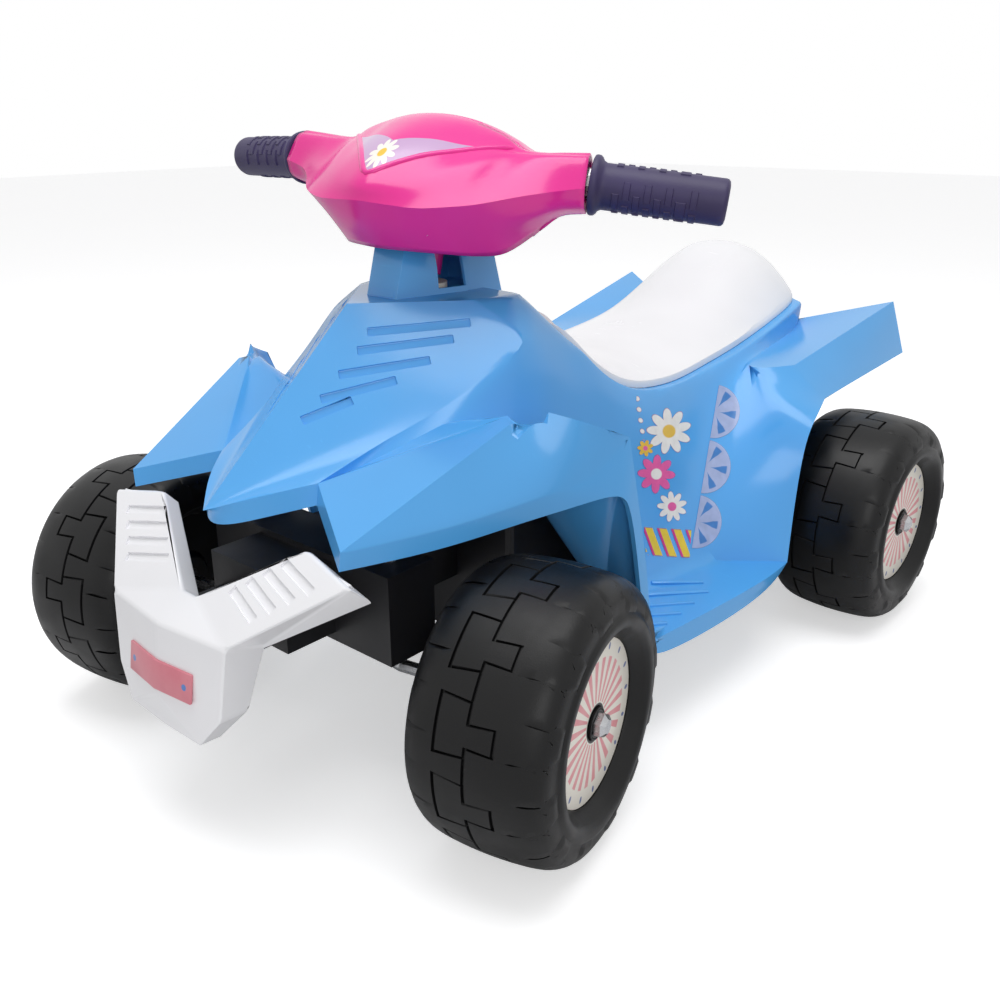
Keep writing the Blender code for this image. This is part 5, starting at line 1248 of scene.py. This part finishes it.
# %% Field and daisy of the cover
# The field's edges, seen from above: where they meet on the middle line, and their slopes.
FIELD_TIP, FIELD_FRONT = -0.1745, 1.284
FIELD_BACK_TIP, FIELD_BACK = -0.144, 0.62
PETAL_DEPTH = 0.45       # share of the petal's length that is cut in between two petals


def daisy(made, across, up, middle, size, petals):
    """Masks of a daisy's petals and of its round heart."""
    x, y = (made.math("DIVIDE", made.minus(value, centre), radius)
            for value, centre, radius in zip((across, up), middle, size))
    reach = made.reach(x, y)
    turn = made.times(made.math("ARCTAN2", y, x), petals / 2)
    edge = made.math("MULTIPLY_ADD", made.math("ABSOLUTE", made.math("COSINE", turn)),
                     PETAL_DEPTH, 1 - PETAL_DEPTH)
    return made.below(made.minus(reach, edge), -0.03, 0.03), made.below(reach, 0.26, 0.31)


def cover_plastic():
    """Magenta plastic with the lilac field and its daisy."""
    made = Finish("cover_plastic")
    x, y = made.print_map()
    side = made.math("ABSOLUTE", x)
    ahead = made.minus(y, made.math("MULTIPLY_ADD", side, FIELD_FRONT, FIELD_TIP))
    behind = made.minus(made.math("MULTIPLY_ADD", side, FIELD_BACK, FIELD_BACK_TIP), y)
    field = made.times(made.spread(ahead, 0.003, 0.0036), made.spread(behind, 0.0, 0.0006))
    petal, heart = daisy(made, x, y, (0.0, -0.155), (0.0085, 0.012), 10)
    drift = made.spread(made.noise(DRIFT_SCALE, 2.0), 0.3, 0.7)
    tone = made.mix(drift, shaded(linear("E8268F"), 0.95), shaded(linear("EC2A97"), 1.03))
    tone = made.mix(field, tone, linear("C9A5CF"))
    tone = made.mix(made.times(petal, field), tone, linear("F7F3EA"))
    tone = made.mix(made.times(heart, field), tone, linear("F2C63C"))
    polish = made.spread(made.noise(POLISH_SCALE, 4.0), 0.25, 0.75, 0.15, 0.25)
    return made.set(Base_Color=tone, Roughness=polish, Normal=made.plastic_skin(0.2, 0.06),
                    IOR=PLASTIC_IOR)


COVER_PLASTIC = cover_plastic()
print("cover plastic made")

# %% [markdown]
# The two skins, skirt and top, are welded along the crease and cut in two at the seam over
# the bar by bisecting. A Solidify modifier gives the shells their wall, and a small gap at
# the seam lets the joint line show.

# %% Cover shells
SEAM_Y, SEAM_GAP = -0.096, 0.0004
COVER_WALL = 0.0022


def cover_skin():
    """The whole cover as one sheet, with its print map."""
    skin = bmesh.new()
    for part in (SKIRT, TOP):
        bridged(skin, cover_rows(part))
    weld(skin, 0.00005)
    face_outwards(skin)
    layer = skin.loops.layers.uv.new("print")
    for face in skin.faces:
        away = 1 if face.normal.z < 0 else 0    # the skirt lies off the printed part of the map
        for loop in face.loops:
            loop[layer].uv = (loop.vert.co.x, loop.vert.co.y - away)
    return skin


def cover_shell(name, node, ahead):
    """The front shell is ahead of the seam (1), the rear one behind it (-1)."""
    skin = cover_skin()
    cut_away(skin, (0, SEAM_Y - ahead * SEAM_GAP / 2, 0), (0, ahead, 0), clear_outer=True)
    moved(skin, STEER_TURN)
    shell = finish_piece(name, skin, COVER_PLASTIC, node, smooth=40)
    wall(shell, COVER_WALL)
    return shell


front_shell = cover_shell("cover_front_shell", "bar_cover_front", 1)
rear_shell = cover_shell("cover_rear_shell", "bar_cover_rear", -1)
faces = [faces_of(shell) for shell in (front_shell, rear_shell)]
print(f"cover shells of {faces} faces")

# %% [markdown]
# Along the field's front edge runs a low ridge. Points on that V are dropped on the skin with
# rays, small circles are set across the line that they make, and each circle is bridged to
# the next. Only the upper part of the ridge stands out of the shell.

# %% Ridge on the dome
RIDGE_REACH, RIDGE_STEPS = 0.056, 16         # on each side of the middle
RIDGE_RADIUS = 0.002
RIDGE_BEHIND = 0.001                        # distance from the tip of the field


def swept(points, radius):
    """A rounded bar through points, with its last sections small."""
    bm = bmesh.new()
    rings = []
    for number, point in enumerate(points):
        ahead = points[min(number + 1, len(points) - 1)] - points[max(number - 1, 0)]
        last = number in (0, len(points) - 1)
        place = Matrix.Translation(point) @ ahead.to_track_quat("Z", "Y").to_matrix().to_4x4()
        made = bmesh.ops.create_circle(bm, segments=12, radius=radius * (0.5 if last else 1),
                                       matrix=place)
        rings.append(list({edge for vert in made["verts"] for edge in vert.link_edges}))
    for first, second in zip(rings, rings[1:]):
        bmesh.ops.bridge_loops(bm, edges=first + second)
    bmesh.ops.edgeloop_fill(bm, edges=rings[0])
    bmesh.ops.edgeloop_fill(bm, edges=rings[-1])
    bmesh.ops.recalc_face_normals(bm, faces=bm.faces)
    return bm


def ridge_on_dome():
    skin = cover_skin()
    tree = BVHTree.FromBMesh(skin)
    skin.free()
    points = []
    for number in range(-RIDGE_STEPS, RIDGE_STEPS + 1):
        x = RIDGE_REACH * number / RIDGE_STEPS
        place, _ = dropped(tree, x, FIELD_TIP + RIDGE_BEHIND + FIELD_FRONT * math.hypot(x, 0.003))
        points.append(place + DOWN * (RIDGE_RADIUS * 0.45))
    ridge = swept(points, RIDGE_RADIUS)
    moved(ridge, STEER_TURN)
    return finish_piece("dome_ridge", ridge, MAGENTA_PLASTIC, "bar_cover_front",
                        replace=False, smooth=50)


print(f"ridge: {faces_of(ridge_on_dome())} faces")

# %% [markdown]
# ## Grips
#
# A soft grip is a sleeve with a broad flange at its inner end, a closed rounded outer end,
# and rows of small raised pads like bricks. The sleeve is spun in rows and columns that are
# fine enough to lift some of its faces: whole faces are picked by row and column, inset a
# little and pushed out, which keeps the pads' sides steep.

# %% Grips
GRIP_START = Vector((0.1023, -0.0946, 0.3565))
GRIP_TIP = Vector((0.1765, -0.0706, 0.3511))
GRIP_LENGTH = 0.0782
GRIP_RADIUS = 0.0131
GRIP_ROWS, GRIP_COLUMNS = 34, 48
FLANGE_FROM = 0.0013
PADS_FROM, PADS_TO, PAD_PITCH, PAD_HEIGHT = 0.013, 0.064, 0.00625, 0.0007
BRICK = 8                # columns from one pad to the next
PAD_SIDES = (0, 1, 3, 4, 6)


def grip_section():
    """(radius, distance from the flange) from the bar out over the flange to the closed end."""
    flange = [(0.0098, 0), (0.0155, 0), (0.0166, 0.0005), (0.017, 0.0016), (0.0168, 0.0034),
              (0.0158, 0.0046), (0.0141, 0.0056), (GRIP_RADIUS, 0.0075)]
    flange = [(radius, FLANGE_FROM + height) for radius, height in flange]
    start, length = FLANGE_FROM + 0.0075, GRIP_LENGTH - 0.0105
    sleeve = [(GRIP_RADIUS, start + length * row / GRIP_ROWS) for row in range(1, GRIP_ROWS + 1)]
    end = sleeve[-1][1]
    tip = [(GRIP_RADIUS - 0.0003, end + 0.0012), (GRIP_RADIUS - 0.0014, end + 0.0022),
           (GRIP_RADIUS - 0.0036, end + 0.0027), (0.0, end + 0.0028)]
    return flange + sleeve + tip


def in_a_pad(middle):
    """Whether a face of the sleeve belongs to one of the raised bricks."""
    if (abs(math.hypot(middle.x, middle.y) - GRIP_RADIUS) > 0.0002
            or not PADS_FROM < middle.z < PADS_TO):
        return False
    row, along = divmod((middle.z - PADS_FROM) / PAD_PITCH, 1)
    across = math.degrees(math.atan2(middle.y, middle.x)) % 360 / (360 / GRIP_COLUMNS)
    column, place = divmod(across + (BRICK / 2 if row % 2 else 0), BRICK)
    return 1 <= place < 7 and 0.15 < along < 0.85 and column % 8 in PAD_SIDES


def grip(name, side):
    bm = spun(grip_section(), GRIP_COLUMNS, closed=False)
    pads = [face for face in bm.faces if in_a_pad(face.calc_center_median())]
    bmesh.ops.inset_region(bm, faces=pads, thickness=0.0003, depth=PAD_HEIGHT, use_even_offset=True)
    start, tip = (Vector((side * point.x, *point.yz)) for point in (GRIP_START, GRIP_TIP))
    turn = (tip - start).to_track_quat("Z", "Y").to_matrix().to_4x4()
    moved(bm, STEER_TURN @ Matrix.Translation(start) @ turn)
    return finish_piece(f"soft_grip_{name}", bm, GRIP_RUBBER, f"grip_{name}", smooth=40)


for name, side in (("left", 1), ("right", -1)):
    made = grip(name, side)
print(f"grips of {faces_of(made)} faces")

# %% [markdown]
# ## Decals
#
# Each side of the body carries a strip of three half rounds, each with three drops in it,
# and a field of daisies, slanted bars and dots. A decal is a thin film: a grid is draped on the
# body by rays from the camera's place, because the film's outline is known in the picture,
# and it lies a third of a millimetre off the plastic. Its print map gives each point its place
# on the film, and the alpha of the material leaves the film clear between the printed shapes.

# %% Drape the decals
FILM_LIFT = 0.00035
WALL_START = -0.03     # further forward lies the front fender's leg, which carries no film
LONGEST_EDGE = 0.012    # a face with a longer edge spans two walls
WEAR_SCALE = 160.0
FILM_SHAPE = 2.6        # units up the daisy film for one unit across
DAISIES = (             # middle (across, up), size, petals, colour, colour of the heart
    ((-0.1, 1.55), 0.72, 9, "F6F2EA", "F0C33A"), ((0.22, 0.2), 0.6, 8, "EE5FA6", "F6F2EA"),
    ((-0.34, -0.78), 0.48, 9, "F6F2EA", "EE5FA6"), ((0.62, 0.98), 0.26, 7, "F0C33A", "EE5FA6"),
)


def draped(name, middle, along, half_length, half_width, material, counts):
    """A film centred on a point, turned so that its length runs along a slope (right, up)."""
    axis = (CAMERA_RIGHT * along[0] + CAMERA_UP * along[1]).normalized()
    cross = (CAMERA_RIGHT * along[1] - CAMERA_UP * along[0]).normalized()
    for side_name, side in (("left", 1), ("right", -1)):
        bm = bmesh.new()
        bmesh.ops.create_grid(bm, x_segments=counts[0], y_segments=counts[1], size=1)
        layer = bm.loops.layers.uv.new("print")
        for face in bm.faces:
            for loop in face.loops:
                loop[layer].uv = loop.vert.co.xy
        missed = []
        for vert in bm.verts:
            target = middle + cross * (vert.co.x * half_width) + axis * (vert.co.y * half_length)
            place, normal, _, _ = BODY_SURFACE.ray_cast(CAMERA_PLACE, target - CAMERA_PLACE)
            if place is None or place.y < WALL_START:
                missed.append(vert)
            else:
                lifted = place + normal * FILM_LIFT
                vert.co = (lifted.x * side, *lifted.yz)
        bmesh.ops.delete(bm, geom=missed, context="VERTS")
        long_faces = [face for face in bm.faces
                      if max(edge.calc_length() for edge in face.edges) > LONGEST_EDGE]
        bmesh.ops.delete(bm, geom=long_faces, context="FACES")
        if side == -1:
            bmesh.ops.reverse_faces(bm, faces=bm.faces)
        piece = finish_piece(f"{name}_{side_name}", bm, material, "body_shell",
                             replace=False, smooth=60)
    print(f"{name}: {faces_of(piece)} faces, {len(missed)} points off the wall")


def half_rounds():
    """Three pale half rounds one above the other, each with three darker drops."""
    made = Finish("half_round_strip")
    x, y = made.print_map()
    third = made.math("FRACT", made.math("MULTIPLY_ADD", y, 1.5, 1.5))
    up = made.math("MULTIPLY_ADD", third, 2.0, -1.0)
    out = made.math("MULTIPLY_ADD", x, -0.5, 0.5)
    reach = made.reach(up, out)
    sector = made.math("DIVIDE", made.math("ARCTAN2", out, up), math.pi)
    aside = made.math("ABSOLUTE", made.off_middle(made.times(sector, 3.0)))
    width = made.spread(reach, 0.18, 0.62, 0.0, 0.17)
    drop = made.times(made.below(made.minus(aside, width), -0.02, 0.02),
                      made.below(reach, 0.8, 0.84))
    worn = made.spread(made.noise(WEAR_SCALE, 4.0), 0.3, 0.7, 0.85, 1.0)
    tone = made.mix(drop, linear("A9B7DC"), linear("3F7FC4"))
    return made.set(Base_Color=tone, Roughness=0.3,
                    Alpha=made.times(made.below(reach, 0.94, 0.97), worn))


def slanted_bars(made, x, tall, start):
    """A mask of bars low on the film that lean to the right."""
    slant = made.math("MULTIPLY_ADD", tall, -0.45, x)
    stripe = made.math("FRACT", made.math("MULTIPLY_ADD", made.minus(slant, start), 2.2, 10.0))
    sides = made.below(made.math("ABSOLUTE", slant), 1.66, 1.68)
    height = made.times(made.spread(tall, -2.35, -2.3), made.below(tall, -1.5, -1.45))
    return made.times(made.times(made.below(stripe, 0.5, 0.53), sides), height)


def row_of_dots(made, x, tall):
    """A mask of small dots, one above the other, beside the upper daisies."""
    up = made.times(made.off_middle(made.times(tall, 3.0)), 0.33)
    beside = made.minus(x, made.math("MULTIPLY_ADD", tall, 0.22, 0.42))
    return made.times(made.below(made.reach(up, beside), 0.06, 0.09),
                      made.spread(tall, 1.2, 1.25))


def daisy_field():
    """Four daisies over yellow bars with a magenta shadow, and a row of dots."""
    made = Finish("daisy_field")
    x, y = made.print_map()
    tall = made.times(y, FILM_SHAPE)
    shadow, bars = (slanted_bars(made, x, tall, start) for start in (0.08, 0.0))
    tone = made.mix(bars, linear("D8308C"), linear("F4D23A"))
    cover = made.math("MAXIMUM", shadow, bars)
    for middle, size, petals, colour, heart_colour in DAISIES:
        petal, heart = daisy(made, x, tall, middle, (size, size), petals)
        tone = made.mix(petal, tone, linear(colour))
        tone = made.mix(heart, tone, linear(heart_colour))
        cover = made.math("MAXIMUM", cover, petal)
    dot = row_of_dots(made, x, tall)
    tone = made.mix(dot, tone, linear("F6F2EA"))
    cover = made.math("MAXIMUM", cover, dot)
    worn = made.spread(made.noise(WEAR_SCALE, 4.0), 0.3, 0.7, 0.9, 1.0)
    return made.set(Base_Color=tone, Roughness=0.3, Alpha=made.times(cover, worn))


draped("half_round_strip", Vector((0.11, 0.0868, 0.1372)), along=(-27, -162),
       half_length=0.063, half_width=0.01, material=half_rounds(), counts=(12, 60))
draped("daisy_film", Vector((0.0993, 0.026, 0.1418)), along=(-6, -100),
       half_length=-0.06, half_width=0.0225, material=daisy_field(), counts=(24, 56))

# %% [markdown]
# ## Studio
#
# A product picture stands on white with soft light from above. A lit backdrop would also
# light the toy, so the white comes from the rays instead: where the camera, a reflection or
# a view through something meets the world, it sees plain white, and all other light from the
# world is lower. The floor is a pale matt plane, which keeps the shadow under the wheels.

# %% Studio
WORLD_LIGHT = 0.42       # strength of the world where it isn't seen itself
FLOOR_GLOW = 0.5


def make_world():
    """White for the rays that see the world, and less light for all others."""
    world = bpy.data.worlds.new("studio")
    world.use_nodes = True
    nodes, links = world.node_tree.nodes, world.node_tree.links
    paths = nodes.new("ShaderNodeLightPath")
    seen = paths.outputs["Is Camera Ray"]
    for ray in ("Is Glossy Ray", "Is Transmission Ray"):
        either = nodes.new("ShaderNodeMath")
        either.operation = "MAXIMUM"
        links.new(seen, either.inputs[0])
        links.new(paths.outputs[ray], either.inputs[1])
        seen = either.outputs[0]
    strength = nodes.new("ShaderNodeMapRange")
    strength.inputs["To Min"].default_value = WORLD_LIGHT
    links.new(seen, strength.inputs["Value"])
    links.new(strength.outputs["Result"], nodes["Background"].inputs["Strength"])
    nodes["Background"].inputs["Color"].default_value = (1, 1, 1, 1)
    bpy.context.scene.world = world


def area_lamp(name, place, aim, size, power):
    data = bpy.data.lights.new(name, "AREA")
    data.shape = "RECTANGLE"
    data.size, data.size_y = size
    data.energy = power
    lamp = bpy.data.objects.new(name, data)
    bpy.context.scene.collection.objects.link(lamp)
    lamp.location = place
    lamp.rotation_euler = (Vector(aim) - Vector(place)).to_track_quat("-Z", "Y").to_euler()
    return lamp


def make_floor():
    """A pale plane that glows a little to the camera, so that it meets the white softly."""
    bm = bmesh.new()
    bmesh.ops.create_grid(bm, x_segments=1, y_segments=1, size=6)
    floor = loose_object("floor", bm)
    made = Finish("pale_floor")
    speckle = made.mix(made.noise(3.0), (0.9, 0.9, 0.91, 1), (0.93, 0.93, 0.94, 1))
    seen = made.add("ShaderNodeLightPath").outputs["Is Camera Ray"]
    floor.data.materials.append(made.set(
        Base_Color=speckle, Roughness=0.9, Emission_Color=(1, 1, 1, 1),
        Emission_Strength=made.times(seen, FLOOR_GLOW)))


make_world()
make_floor()
lamps = [
    area_lamp("ceiling_light", (0.1, -0.2, 1.7), aim=(0, 0, 0.1), size=(1.4, 1.0), power=15),
    area_lamp("window_light", (1.3, -1.2, 0.9), aim=(0, 0, 0.2), size=(0.8, 0.8), power=5),
]
bpy.context.scene.view_settings.view_transform = "Standard"
print(f"{len(lamps)} lamps over a pale floor")
